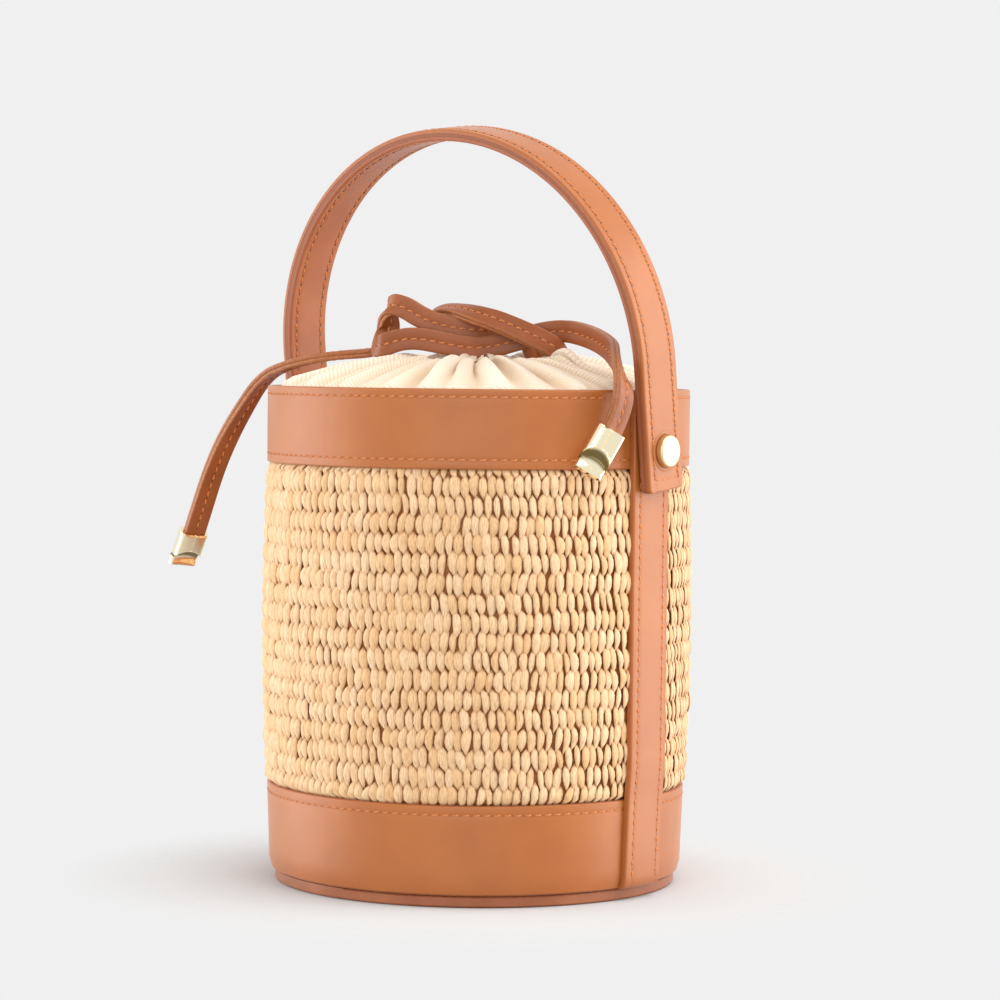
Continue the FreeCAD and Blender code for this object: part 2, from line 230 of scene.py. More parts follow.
def lofted(rings: np.ndarray, values: dict[str, np.ndarray] | None = None, looped: bool = False) -> Shell:
    """Closed shell through a row of rings. Each ring closes on itself and the two end rings get a fan.

    Args:
        rings: Array of rings by points by three, in metres.
        values: Value at each ring point, as rings by points, or with three numbers each.
        looped: Join the last ring to the first in place of the fans.

    Returns:
        The shell, faces outward.
    """
    rows, ring = rings.shape[:2]
    row = np.arange(rows if looped else rows - 1)[:, None]
    col = np.arange(ring)[None, :]
    after, ahead = (col + 1) % ring, (row + 1) % rows
    corners = [row * ring + col, row * ring + after, ahead * ring + after, ahead * ring + col]
    quads = np.stack(corners, -1).reshape(-1, 4)
    points = rings.reshape(-1, 3)
    flat = {k: v.reshape((rows * ring,) + v.shape[2:]) for k, v in (values or {}).items()}
    tris = np.zeros((0, 3), int)
    if not looped:
        hub = rows * ring
        one = np.arange(ring)
        two = (one + 1) % ring
        last = (rows - 1) * ring
        tris = np.concatenate(
            [np.stack([np.full(ring, hub), two, one], 1), np.stack([np.full(ring, hub + 1), one + last, two + last], 1)]
        )
        points = np.concatenate([points, rings[0].mean(0)[None], rings[-1].mean(0)[None]])
        flat = {k: np.concatenate([v, v[:1], v[last : last + 1]]) for k, v in flat.items()}
    return Shell(points, quads, tris, flat).outward()


def piece(
    name: str,
    shell: Shell,
    material: bpy.types.Material,
    body: str = "root",
    stands_for: tuple[str, ...] = (),
    crease: float = 40.0,
) -> bpy.types.Object:
    """Object made from a shell, riding on a body.

    Args:
        name: The piece's name.
        shell: Its mesh and values.
        material: Its finish.
        body: The body that it rides on.
        stands_for: The CAD nodes that it replaces.
        crease: Angle in degrees past which an edge shades sharp.

    Returns:
        The new object.
    """
    mesh = bpy.data.meshes.new(name)
    mesh.from_pydata(shell.points.tolist(), [], shell.quads.tolist() + shell.tris.tolist())
    for key, numbers in shell.values.items():
        vector = numbers.ndim == 2
        attribute = mesh.attributes.new(key, "FLOAT_VECTOR" if vector else "FLOAT", "POINT")
        attribute.data.foreach_set("vector" if vector else "value", numbers.astype(np.float32).ravel())
    mesh.shade_smooth()
    mesh.set_sharp_from_angle(angle=math.radians(crease))
    mesh.materials.append(material)
    made = bpy.data.objects.new(name, mesh)
    bpy.context.scene.collection.objects.link(made)
    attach(made, body)
    if stands_for:
        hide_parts(*stands_for)
    LOG.info("%s: %d points, %d faces", name, len(shell.points), len(mesh.polygons))
    return made


# ---------------------------------------------------------------- finishes


def linear(colour: str) -> tuple[float, float, float, float]:
    """A hex colour as linear red, green, blue and alpha, by the sRGB curve."""
    parts = [int(colour[k : k + 2], 16) / 255 for k in (1, 3, 5)]
    return (*[p / 12.92 if p <= 0.04045 else ((p + 0.055) / 1.055) ** 2.4 for p in parts], 1.0)


def add_node(tree: bpy.types.NodeTree, kind: str, inputs: dict | None = None, **settings: object) -> bpy.types.Node:
    """A new node with its settings, and with each input set to a value or linked to a socket.

    Args:
        tree: The material's node tree.
        kind: Blender's name for the node.
        inputs: Socket name or number to a value or to an output socket.
        **settings: Properties of the node.

    Returns:
        The node.
    """
    node = tree.nodes.new(kind)
    for key, value in settings.items():
        setattr(node, key, value)
    for key, value in (inputs or {}).items():
        if isinstance(value, bpy.types.NodeSocket):
            tree.links.new(value, node.inputs[key])
        else:
            node.inputs[key].default_value = value
    return node


def new_material(name: str) -> tuple[bpy.types.Material, bpy.types.NodeTree]:
    """An empty node material and its tree.

    Args:
        name: Name of the material.

    Returns:
        The material and its node tree.
    """
    material = bpy.data.materials.new(name)
    material.use_nodes = True
    material.node_tree.nodes.clear()
    return material, material.node_tree


def finished(tree: bpy.types.NodeTree, inputs: dict) -> None:
    """Adds the surface shader with these inputs, and the output.

    Args:
        tree: The material's node tree.
        inputs: Socket name to a value or to an output socket.
    """
    shader = add_node(tree, "ShaderNodeBsdfPrincipled", inputs)
    add_node(tree, "ShaderNodeOutputMaterial", {"Surface": shader.outputs[0]})


def blended(tree: bpy.types.NodeTree, factor: object, low: object, high: object) -> bpy.types.NodeSocket:
    """Colour between two colours by a factor."""
    return add_node(tree, "ShaderNodeMix", {0: factor, 6: low, 7: high}, data_type="RGBA").outputs[2]


def scaled(
    tree: bpy.types.NodeTree, vector: bpy.types.NodeSocket, scale: tuple[float, float, float]
) -> bpy.types.NodeSocket:
    """A pattern's coordinates times a scale on each axis."""
    return add_node(tree, "ShaderNodeMapping", {0: vector, 3: scale}).outputs[0]


def ranged(
    tree: bpy.types.NodeTree, value: object, low: float, high: float, to_low: float, to_high: float
) -> bpy.types.NodeSocket:
    """A value carried from one range to another, held at its ends."""
    return add_node(tree, "ShaderNodeMapRange", {0: value, 1: low, 2: high, 3: to_low, 4: to_high}).outputs[0]


@dataclass(frozen=True)
class TannedLeather:
    """Vegetable-tanned cowhide, split, dyed and waxed: a calm face, fine pores, soft gloss and darker cut edges."""

    name: str
    face: str
    warm: str
    cut: str
    roughness: float = 0.44
    pore_mm: float = 0.45
    cloud_mm: float = 22.0
    gloss: float = 1.0

    def make(self) -> bpy.types.Material:
        """Builds the node material.

        Returns:
            The material.
        """
        material, tree = new_material(self.name)
        place = add_node(tree, "ShaderNodeTexCoord").outputs["Object"]
        edge = add_node(tree, "ShaderNodeAttribute", attribute_name="edge").outputs["Fac"]
        cloud = add_node(tree, "ShaderNodeTexNoise", {"Vector": place, "Scale": 1000 / self.cloud_mm, "Detail": 3.0})
        # Pores and creases between them: about two a millimetre, drawn as cells.
        pores = add_node(
            tree, "ShaderNodeTexVoronoi", {"Vector": place, "Scale": 1000 / self.pore_mm}, feature="DISTANCE_TO_EDGE"
        )
        fine = add_node(tree, "ShaderNodeTexNoise", {"Vector": place, "Scale": 1600.0, "Detail": 4.0})
        fibres = add_node(
            tree, "ShaderNodeTexNoise", {"Vector": place, "Scale": 900.0, "Detail": 5.0, "Roughness": 0.7}
        )
        face = blended(tree, ranged(tree, cloud.outputs[0], 0.35, 0.65, 0.0, 1.0), linear(self.face), linear(self.warm))
        cut = blended(tree, ranged(tree, fibres.outputs[0], 0.35, 0.7, 0.0, 1.0), linear(self.cut), linear(self.warm))
        colour = blended(tree, ranged(tree, edge, 0.25, 0.75, 0.0, 0.85), face, cut)
        pore_height = ranged(tree, pores.outputs["Distance"], 0.0, 0.25, 0.0, 1.0)
        height = add_node(tree, "ShaderNodeMath", {0: pore_height, 1: fine.outputs[0]}, operation="ADD").outputs[0]
        bump = add_node(tree, "ShaderNodeBump", {"Height": height, "Strength": 0.22, "Distance": 0.00008}).outputs[0]
        rough = ranged(tree, fine.outputs[0], 0.3, 0.7, self.roughness - 0.05, self.roughness + 0.07)
        finished(tree, {
            "Base Color": colour, "Roughness": rough, "Normal": bump, "IOR": 1.5,
            "Sheen Weight": 0.14 * self.gloss, "Sheen Roughness": 0.35,
            "Coat Weight": 0.15 * self.gloss, "Coat Roughness": 0.3,
        })
        return material


@dataclass(frozen=True)
class WovenRaffia:
    """Split palm leaf, dried pale and woven: faintly glossy straw, tan fibre streaks along each strip, and the same tan
    as painted shade in its gaps.
    """

    name: str
    pale: str
    straw: str
    shade: str
    fibre_mm: float = 0.3

    def make(self) -> bpy.types.Material:
        """Builds the node material.

        Returns:
            The material.
        """
        material, tree = new_material(self.name)
        lie = add_node(tree, "ShaderNodeAttribute", attribute_name="lie").outputs["Vector"]
        tone = add_node(tree, "ShaderNodeAttribute", attribute_name="tone").outputs["Fac"]
        edge = add_node(tree, "ShaderNodeAttribute", attribute_name="edge").outputs["Fac"]
        # Fibres run along the strip: the noise is drawn ten times longer that way than across.
        along = scaled(tree, lie, (1 / self.fibre_mm, 0.1 / self.fibre_mm, 1.0))
        fibres = add_node(
            tree, "ShaderNodeTexNoise", {"Vector": along, "Scale": 1.0, "Detail": 3.0, "Roughness": 0.6}
        ).outputs[0]
        base = blended(tree, tone, linear(self.pale), linear(self.straw))
        streak = ranged(tree, fibres, 0.42, 0.66, 0.0, 0.5)
        base = blended(tree, streak, base, linear(self.shade))
        # Painted shade: the edge value darkens the strips' undersides and ends, and the wall behind them, to the tan.
        colour = blended(tree, ranged(tree, edge, 0.15, 1.0, 0.0, 1.0), base, linear(self.shade))
        bump = add_node(tree, "ShaderNodeBump", {"Height": fibres, "Strength": 0.8, "Distance": 0.00025}).outputs[0]
        finished(tree, {"Base Color": colour, "Roughness": 0.5, "Normal": bump, "IOR": 1.45, "Specular IOR Level": 0.4})
        return material


@dataclass(frozen=True)
class CottonTwill:
    """Cream cotton twill: matt, soft at its edges, with the slanted ridges of its weave about 0.8 mm apart."""

    name: str
    cream: str
    valley: str
    ridge_mm: float = 0.8
    on_surface: bool = True

    def make(self) -> bpy.types.Material:
        """Builds the node material.

        Returns:
            The material.
        """
        material, tree = new_material(self.name)
        if self.on_surface:
            place = add_node(tree, "ShaderNodeAttribute", attribute_name="lie").outputs["Vector"]
        else:
            place = scaled(tree, add_node(tree, "ShaderNodeTexCoord").outputs["Object"], (1000.0, 1000.0, 1000.0))
        # One sine for each ridge: twenty radians a turn of the wave node's own scale.
        wave = {"Vector": place, "Scale": 0.314 / self.ridge_mm, "Distortion": 0.6, "Detail": 1.0, "Detail Scale": 2.0}
        ridges = add_node(tree, "ShaderNodeTexWave", wave, bands_direction="DIAGONAL").outputs[1]
        threads = add_node(tree, "ShaderNodeTexNoise", {"Vector": place, "Scale": 2.5, "Detail": 3.0}).outputs[0]
        slub = ranged(tree, threads, 0.3, 0.7, 0.0, 0.35)
        colour = blended(tree, ranged(tree, ridges, 0.0, 0.55, 0.55, 0.0), linear(self.cream), linear(self.valley))
        colour = blended(tree, slub, colour, linear(self.cream))
        # Little light reaches the bottom of a fold: its attribute is 0 on a plain surface.
        fold = add_node(tree, "ShaderNodeAttribute", attribute_name="edge").outputs["Fac"]
        colour = blended(tree, ranged(tree, fold, 0.0, 1.0, 0.0, 0.6), colour, linear(self.valley))
        height = add_node(tree, "ShaderNodeMath", {0: ridges, 1: threads}, operation="ADD").outputs[0]
        bump = add_node(tree, "ShaderNodeBump", {"Height": height, "Strength": 0.5, "Distance": 0.00022}).outputs[0]
        finished(tree, {
            "Base Color": colour, "Roughness": 0.85, "Normal": bump, "IOR": 1.4, "Specular IOR Level": 0.25,
            "Sheen Weight": 0.15, "Sheen Roughness": 0.5,
        })
        return material


@dataclass(frozen=True)
class WaxedThread:
    """Twisted polyester thread, waxed: rust orange with a slanted ply, and a nearly black painted shade for the needle
    holes.
    """

    name: str
    thread: str
    ply: str
    hole: str

    def make(self) -> bpy.types.Material:
        """Builds the node material.

        Returns:
            The material.
        """
        material, tree = new_material(self.name)
        lie = add_node(tree, "ShaderNodeAttribute", attribute_name="lie").outputs["Vector"]
        hole = add_node(tree, "ShaderNodeAttribute", attribute_name="edge").outputs["Fac"]
        # The ply turns once in about 0.7 mm.
        wave = {"Vector": lie, "Scale": 0.45, "Distortion": 0.5}
        twist = add_node(tree, "ShaderNodeTexWave", wave, bands_direction="DIAGONAL").outputs[1]
        colour = blended(tree, twist, linear(self.ply), linear(self.thread))
        # Painted shade: the needle-hole lenses carry an edge value of one and take the nearly black hole colour.
        colour = blended(tree, hole, colour, linear(self.hole))
        bump = add_node(tree, "ShaderNodeBump", {"Height": twist, "Strength": 0.5, "Distance": 0.0001}).outputs[0]
        finished(tree, {
            "Base Color": colour, "Roughness": 0.7, "Normal": bump, "IOR": 1.48, "Specular IOR Level": 0.12,
        })
        return material


@dataclass(frozen=True)
class PolishedBrass:
    """Cast brass, light gold plated and polished: mirror-like, with faint lengthwise buffing marks, and a darker brass
    for painted shade.
    """

    name: str
    gold: str
    roughness: float
    scoop_shade: str = "#7A6840"
    buff_mm: float = 0.12

    def make(self) -> bpy.types.Material:
        """Builds the node material.

        Returns:
            The material.
        """
        material, tree = new_material(self.name)
        place = add_node(tree, "ShaderNodeTexCoord").outputs["Object"]
        place = scaled(tree, place, (1000 / self.buff_mm, 1000 / self.buff_mm, 30.0))
        marks = add_node(tree, "ShaderNodeTexNoise", {"Vector": place, "Scale": 1.0, "Detail": 2.0}).outputs[0]
        scoop_shade = add_node(tree, "ShaderNodeAttribute", attribute_name="edge").outputs["Fac"]
        # Painted shade: the edge value darkens the brass in the lace tip's scoop under its arch.
        colour = blended(tree, scoop_shade, linear(self.gold), linear(self.scoop_shade))
        rough = ranged(tree, marks, 0.3, 0.7, self.roughness * 0.7, self.roughness * 1.5)
        bump = add_node(tree, "ShaderNodeBump", {"Height": marks, "Strength": 0.08, "Distance": 0.00003}).outputs[0]
        finished(tree, {"Base Color": colour, "Metallic": 1.0, "Roughness": rough, "Normal": bump})
        return material


@dataclass(frozen=True)
class PressedFibre:
    """Felt or fibreboard: short fibres pressed flat, mottled and matt."""

    name: str
    light: str
    dark: str
    fibre_mm: float

    def make(self) -> bpy.types.Material:
        """Builds the node material.

        Returns:
            The material.
        """
        material, tree = new_material(self.name)
        place = add_node(tree, "ShaderNodeTexCoord").outputs["Object"]
        noise = {"Vector": place, "Scale": 1000 / self.fibre_mm, "Detail": 6.0, "Roughness": 0.7}
        fibres = add_node(tree, "ShaderNodeTexNoise", noise).outputs[0]
        colour = blended(tree, ranged(tree, fibres, 0.35, 0.65, 0.0, 1.0), linear(self.light), linear(self.dark))
        bump = add_node(tree, "ShaderNodeBump", {"Height": fibres, "Strength": 0.5, "Distance": 0.0002}).outputs[0]
        finished(tree, {"Base Color": colour, "Roughness": 0.9, "Normal": bump, "IOR": 1.45, "Specular IOR Level": 0.2})
        return material


@dataclass
class Finishes:
    """Every finish of the bag, each made once."""

    leather: bpy.types.Material = field(
        default_factory=TannedLeather("tanned_leather", "#B06427", "#A85D23", "#9A5122").make
    )
    leather_back: bpy.types.Material = field(
        default_factory=TannedLeather("tanned_leather_inside", "#A85F30", "#9C5327", "#96502B", roughness=0.55).make
    )
    sole: bpy.types.Material = field(
        default_factory=TannedLeather("sole_leather", "#A5623A", "#95522D", "#8A4A28", roughness=0.55).make
    )
    core: bpy.types.Material = field(
        default_factory=TannedLeather("bonded_leather_core", "#9A5731", "#8A4A28", "#8A4A28", roughness=0.6).make
    )
    lace: bpy.types.Material = field(
        default_factory=TannedLeather("lace_leather", "#98501F", "#8C481A", "#B07044", cloud_mm=12.0, gloss=0.4).make
    )
    raffia: bpy.types.Material = field(
        default_factory=WovenRaffia("woven_raffia", "#F0CFA4", "#E6BC88", "#A4622E").make
    )
    pouch: bpy.types.Material = field(default_factory=CottonTwill("cotton_twill", "#F1E4D0", "#CDAB80").make)
    lining: bpy.types.Material = field(
        default_factory=CottonTwill("cotton_twill_lining", "#F2E3C8", "#DDC096", on_surface=False).make
    )
    thread: bpy.types.Material = field(
        default_factory=WaxedThread("waxed_thread", "#D98F5C", "#BE6E3C", "#220B04").make
    )
    stud: bpy.types.Material = field(default_factory=PolishedBrass("brushed_pale_brass", "#E6CB98", 0.36).make)
    tip: bpy.types.Material = field(default_factory=PolishedBrass("polished_pale_brass", "#FFF2CF", 0.09).make)
    felt: bpy.types.Material = field(default_factory=PressedFibre("pressed_felt", "#B9AE9C", "#8F8474", 0.6).make)
    board: bpy.types.Material = field(default_factory=PressedFibre("fibreboard", "#9C7C58", "#7A5C3E", 0.4).make)


# ---------------------------------------------------------------- stitching


@dataclass
class Stitching:
    """Rows of slanted stitches with a needle hole at each end."""

    pitch_mm: float = 3.5
    length_mm: float = 2.7
    thick_mm: float = 0.55
    slant_deg: float = 8.0
    hole_mm: float = 0.8

    def stitch(self) -> Shell:
        """One stitch in millimetres: a spindle along X that arches over Z and dives in at both ends.

        Returns:
            The stitch, with its thread coordinates.
        """
        along = np.linspace(-1.0, 1.0, 7)[:, None]
        round_ = np.linspace(0, 2 * math.pi, 6, endpoint=False)[None, :]
        thick = self.thick_mm / 2 * (0.45 + 0.55 * np.sqrt(np.clip(1 - along**2, 0, 1)))
        x = along * self.length_mm / 2 + 0 * round_
        y = thick * np.cos(round_) * 1.15
        z = thick * np.sin(round_) + 0.08 - 0.42 * along**4 + 0 * round_
        rings = np.stack([x, y, z], -1)
        lie = np.stack([x, round_ / math.pi + 0 * along, 0 * x], -1)
        return lofted(rings, {"lie": lie, "edge": np.zeros(x.shape)})

    def hole(self) -> Shell:
        """One needle hole in millimetres: a low lens of painted shade that sits in the leather's face.

        Returns:
            The hole, marked as painted shade by its edge value.
        """
        ring = np.linspace(0, 2 * math.pi, 6, endpoint=False)[None, :]
        level = np.array([[0.0], [1.0], [0.55]])
        size = self.hole_mm * np.array([[0.5], [0.5], [0.3]])
        rings = np.stack([size * np.cos(ring) * 1.15, size * np.sin(ring), -0.25 + 0.31 * level + 0 * ring], -1)
        return lofted(rings, {"lie": rings, "edge": np.ones(rings.shape[:2])})

    def along(self, line: np.ndarray, looped: bool = False) -> Shell:
        """Stitches and holes along a seam.

        Args:
            line: Rows of a position in millimetres and the leather's outward normal there.
            looped: The seam closes on itself.

        Returns:
            All the stitches and holes as one shell, in metres.
        """
        even = resample(line, self.pitch_mm)
        points, normals = even[:, :3], unit(even[:, 3:])
        if looped:
            ahead = unit(np.roll(points[:-1], -1, axis=0) - points[:-1])
            centres = (points[:-1] + points[1:]) / 2
            ups = unit(normals[:-1] + normals[1:])
            pricks, prick_ups, prick_ahead = points[:-1], normals[:-1], ahead
        else:
            ahead = unit(np.diff(points, axis=0))
            centres, ups = (points[:-1] + points[1:]) / 2, unit(normals[:-1] + normals[1:])
            pricks, prick_ups = points, normals
            prick_ahead = np.concatenate([ahead, ahead[-1:]])
        slant = math.radians(self.slant_deg)
        side = unit(np.cross(ups, ahead))
        turned = ahead * math.cos(slant) + side * math.sin(slant)
        stitches = self.stitch().placed(centres, np.stack([turned, np.cross(ups, turned), ups], 1))
        prick_side = unit(np.cross(prick_ups, prick_ahead))
        holes = self.hole().placed(pricks, np.stack([prick_ahead, prick_side, prick_ups], 1))
        both = stitches.joined(holes)
        both.points = both.points * MM
        return both


def seam_piece(
    name: str, lines: list[tuple[np.ndarray, bool]], sewing: Stitching, material: bpy.types.Material, body: str
) -> bpy.types.Object:
    """All the seams of one piece as one object.

    Args:
        name: The object's name.
        lines: Each seam's line, and whether it closes on itself.
        sewing: The kind of stitch.
        material: The thread.
        body: The body that it rides on.

    Returns:
        The new object.
    """
    shell = None
    for line, looped in lines:
        row = sewing.along(line, looped)
        shell = row if shell is None else shell.joined(row)
    return piece(name, shell, material, body, crease=80.0)


# ---------------------------------------------------------------- drum


@dataclass
class Band:
    """Leather band round half of the drum: a strip with eased edges and a pressed line under each seam."""

    name: str
    half: Half
    low: float
    high: float
    radii: tuple[tuple[float, float], ...]
    seams: tuple[float, ...]
    thickness: float = 1.8
    eased_mm: float = 0.75
    part_deg: float = 0.115

    def radius(self, z: np.ndarray) -> np.ndarray:
        """Outer radius at a height, read off the band's own points."""
        return np.interp(z, [p[1] for p in self.radii], [p[0] for p in self.radii])

    def face(self, z: np.ndarray) -> np.ndarray:
        """Radius of the eased face: the radius, less the rounding at both edges, less a groove at each seam.

        Args:
            z: Heights in millimetres.

        Returns:
            The radius at each height.
        """
        r = self.radius(z) - corner_drop(z - self.low, self.eased_mm) - corner_drop(self.high - z, self.eased_mm)
        for seam in self.seams:
            r = r - 0.16 * np.exp(-(((z - seam) / 0.75) ** 2))
        return r

    def shell(self) -> Shell:
        """The half ring, its section carried round by angle.

        Returns:
            The closed half ring.
        """
        e = self.eased_mm
        z = np.unique(np.concatenate([
            self.low + e * (1 - np.cos(np.linspace(0, math.pi / 2, 6))),
            self.high - e * (1 - np.cos(np.linspace(0, math.pi / 2, 6))),
            np.linspace(self.low + e, self.high - e, 10),
            *[seam + np.linspace(-1.6, 1.6, 9) for seam in self.seams],
        ]))
        outer = self.face(z)
        inner_z = z[::-4]
        inner = self.radius(inner_z) - self.thickness
        section_r, section_z = np.concatenate([outer, inner]), np.concatenate([z, inner_z])
        at_edge = np.clip(1 - np.minimum(z - self.low, self.high - z) / (0.55 * e), 0, 1)
        edge = np.concatenate([at_edge, np.ones(len(inner_z))])
        start = math.radians(self.half.value + self.part_deg)
        angle = np.linspace(start, start + math.pi - 2 * math.radians(self.part_deg), 181)[:, None]
        rings = np.stack([section_r * np.cos(angle), section_r * np.sin(angle), section_z + 0 * angle], -1) * MM
        return lofted(rings, {"edge": np.broadcast_to(edge, rings.shape[:2]).copy()})

    def seam_lines(self) -> list[tuple[np.ndarray, bool]]:
        """Seam lines on the face, from strip to strip, with normals straight out.

        Returns:
            Each line as rows of position and normal, and that it is open.
        """
        start = math.radians(self.half.value + BAND_SEAM_END_DEG)
        angle = np.linspace(start, start + math.pi - 2 * math.radians(BAND_SEAM_END_DEG), 400)
        lines = []
        for z in self.seams:
            r = float(self.face(np.array([z]))[0])
            out = np.stack([np.cos(angle), np.sin(angle), 0 * angle], 1)
            place = out * r + np.array([0, 0, z])
            lines.append((np.concatenate([place, out], 1), False))
        return lines

    def build(self, finishes: Finishes) -> None:
        """The band and its stitching."""
        piece(self.name + "_leather", self.shell(), finishes.leather, stands_for=(self.name,))
        seam_piece(self.name + "_stitches", self.seam_lines(), Stitching(), finishes.thread, "root")


@dataclass
class RaffiaWall:
    """Half of the woven wall: rows of bent strips over hidden cords, each row half a strip along from the last."""

    name: str
    half: Half
    row_mm: float = 6.55
    strip_mm: float = 3.12
    first_row_z: float = 37.2
    rows: int = 18
    relief_mm: float = 1.7
    # The strips end this far from the middle of the side strip, and the wall behind them at this angle.
    strip_gap_mm: float = 7.9
    part_deg: float = 0.12
    seed: int = 11

    def crown(self, z: np.ndarray) -> np.ndarray:
        """Outer radius of the weave: a shallow arc between the bands, drawn in under each band's edge.

        Args:
            z: Heights in millimetres.

        Returns:
            The radius at each height.
        """
        middle, reach = (BOTTOM_BAND_TOP + TOP_BAND_FOOT) / 2, (TOP_BAND_FOOT - BOTTOM_BAND_TOP) / 2
        t = (z - middle) / reach
        r = 76.35 - 1.5 * t**2 + 0.15 * t
        r = r - 2.6 * eased((z - TOP_BAND_FOOT + 1.1) / 1.6)
        return r - 2.6 * eased((BOTTOM_BAND_TOP + 1.1 - z) / 1.6)

    def strip_shell(self) -> Shell:
        """One strip as plain numbers: X across from -1 to 1, Y along from -1 to 1, Z out from 0 to 1.

        Returns:
            The plain strip, with its edge value for painted shade.
        """
        along = np.array([-1.0, -0.82, -0.5, -0.1, 0.32, 0.66, 0.9, 1.0])[:, None]
        ring = np.linspace(0, 2 * math.pi, 8, endpoint=False)[None, :] + math.pi / 2
        # Widest just above the middle, blunt at the top and drawn out to a point at the foot.
        width = np.array([0.08, 0.30, 0.68, 0.98, 1.0, 0.78, 0.40, 0.12])[:, None]
        bulge = 1 - np.abs(along) ** 2.2
        up = np.sin(ring)
        x = width * np.cos(ring)
        z = bulge * 0.6 + (0.15 + 0.85 * width) * np.where(up > 0, 0.4 * up, 0.35 * up)
        # Painted shade: the strip darkens from its sides to its underside and towards both ends, where it meets the
        # strips round it.
        edge = 0.16 * (up < 0.9) + 0.8 * np.clip(0.6 - up, 0, 1) + 0.6 * np.clip((np.abs(along) - 0.6) / 0.4, 0, 1)
        rings = np.stack([x, along + 0 * ring, z], -1)
        return lofted(rings, {"edge": np.clip(edge, 0, 1) + 0 * x})

    def shell(self) -> Shell:
        """All the strips of this half, and the cords behind them.

        Each strip's points are its plain numbers times its size, leaned and bent sideways, then laid on the crown.

        Returns:
            The whole woven half.
        """
        rng = np.random.default_rng(self.seed + int(self.half.value))
        count = int(round(math.pi * BODY_R / self.strip_mm))
        row, col = np.meshgrid(np.arange(self.rows), np.arange(count + 1), indexing="ij")
        row, col = row.ravel(), col.ravel()
        size = len(row)
        step = math.pi / count
        drift = 0.3 * np.sin(row * 1.9 + 0.3) + 0.3 * np.sin(col * 0.11 + row * 0.5)
        place = col + 0.5 * (row % 2) + 0.07 * rng.normal(size=size) + 0.4 * drift
        angle = math.radians(self.half.value) + place * step
        height = self.first_row_z + row * self.row_mm + 0.22 * rng.normal(size=size) + 0.35 * np.sin(angle * 5 + row)
        half_wide = self.strip_mm * 0.535 * np.clip(1 + 0.13 * rng.normal(size=size), 0.72, 1.35)
        half_tall = 4.75 * np.clip(1 + 0.08 * rng.normal(size=size), 0.86, 1.16)
        lean_row = 0.35 * np.sin(row * 2.3 + 1.0)
        tilt = 0.3 * rng.normal(size=size) + lean_row
        bend = 0.7 * np.sin(row * 1.3 + col * 0.21) + 0.4 * rng.normal(size=size)
        proud = 0.13 * rng.normal(size=size) + 0.12 * (col % 2)
        keep = np.abs(np.sin(angle) * BODY_R) - half_wide > self.strip_gap_mm
        angle, height, half_wide, half_tall, tilt, bend, proud = (
            v[keep] for v in (angle, height, half_wide, half_tall, tilt, bend, proud)
        )
        tone = rng.uniform(size=len(angle)) ** 1.2
        base = self.strip_shell()
        p = base.points[None]
        across = p[..., 0] * half_wide[:, None] + tilt[:, None] * p[..., 1] + bend[:, None] * (p[..., 1] ** 2 - 0.35)
        z = height[:, None] + p[..., 1] * half_tall[:, None]
        z = np.clip(z, BOTTOM_BAND_TOP - 2.0, TOP_BAND_FOOT + 2.0)
        # The right side of each strip dips under its neighbour's left.
        r = self.crown(z) + (p[..., 2] - 0.95 - 0.16 * p[..., 0]) * self.relief_mm + proud[:, None]
        turn = angle[:, None] + across / BODY_R
        points = np.stack([r * np.cos(turn), r * np.sin(turn), z], -1) * MM
        count, verts = len(angle), len(base.points)
        shift = (np.arange(count) * verts)[:, None, None]
        lie = np.stack([across + angle[:, None] * 97, z + angle[:, None] * 31, 0 * z], -1)
        values = {
            "lie": lie.reshape(-1, 3),
            "edge": np.tile(base.values["edge"], count),
            "tone": np.repeat(tone, verts),
        }
        quads, tris = (base.quads[None] + shift).reshape(-1, 4), (base.tris[None] + shift).reshape(-1, 3)
        strips = Shell(points.reshape(-1, 3), quads, tris, values)
        return strips.outward().joined(self.cords())

    def cords(self) -> Shell:
        """The wall behind the strips: a sheet that swells a little at each row, painted wholly in the tan as painted
        shade.

        Returns:
            The closed sheet.
        """
        z = np.linspace(BOTTOM_BAND_TOP - 4.5, TOP_BAND_FOOT + 4.5, 90)
        swell = 0.25 * np.cos((z - self.first_row_z) / self.row_mm * 2 * math.pi)
        r = np.minimum(self.crown(z) - self.relief_mm * 0.95 + swell, 74.75)
        section_r = np.concatenate([r, np.full(10, 71.35)])
        section_z = np.concatenate([z, z[::-10][:9], z[:1]])
        start = math.radians(self.half.value + self.part_deg)
        angle = np.linspace(start, start + math.pi - 2 * math.radians(self.part_deg), 120)[:, None]
        rings = np.stack([section_r * np.cos(angle), section_r * np.sin(angle), section_z + 0 * angle], -1) * MM
        shape = rings.shape[:2]
        lie = np.stack([np.broadcast_to(section_z, shape), np.broadcast_to(angle * 75, shape), np.zeros(shape)], -1)
        # An edge value of one everywhere paints the whole sheet as painted shade.
        values = {"lie": lie, "edge": np.ones(shape), "tone": np.full(shape, 0.8)}
        return lofted(rings, values)

    def build(self, finishes: Finishes) -> None:
        """The woven half."""
        piece(self.name + "_weave", self.shell(), finishes.raffia, stands_for=(self.name,), crease=75.0)


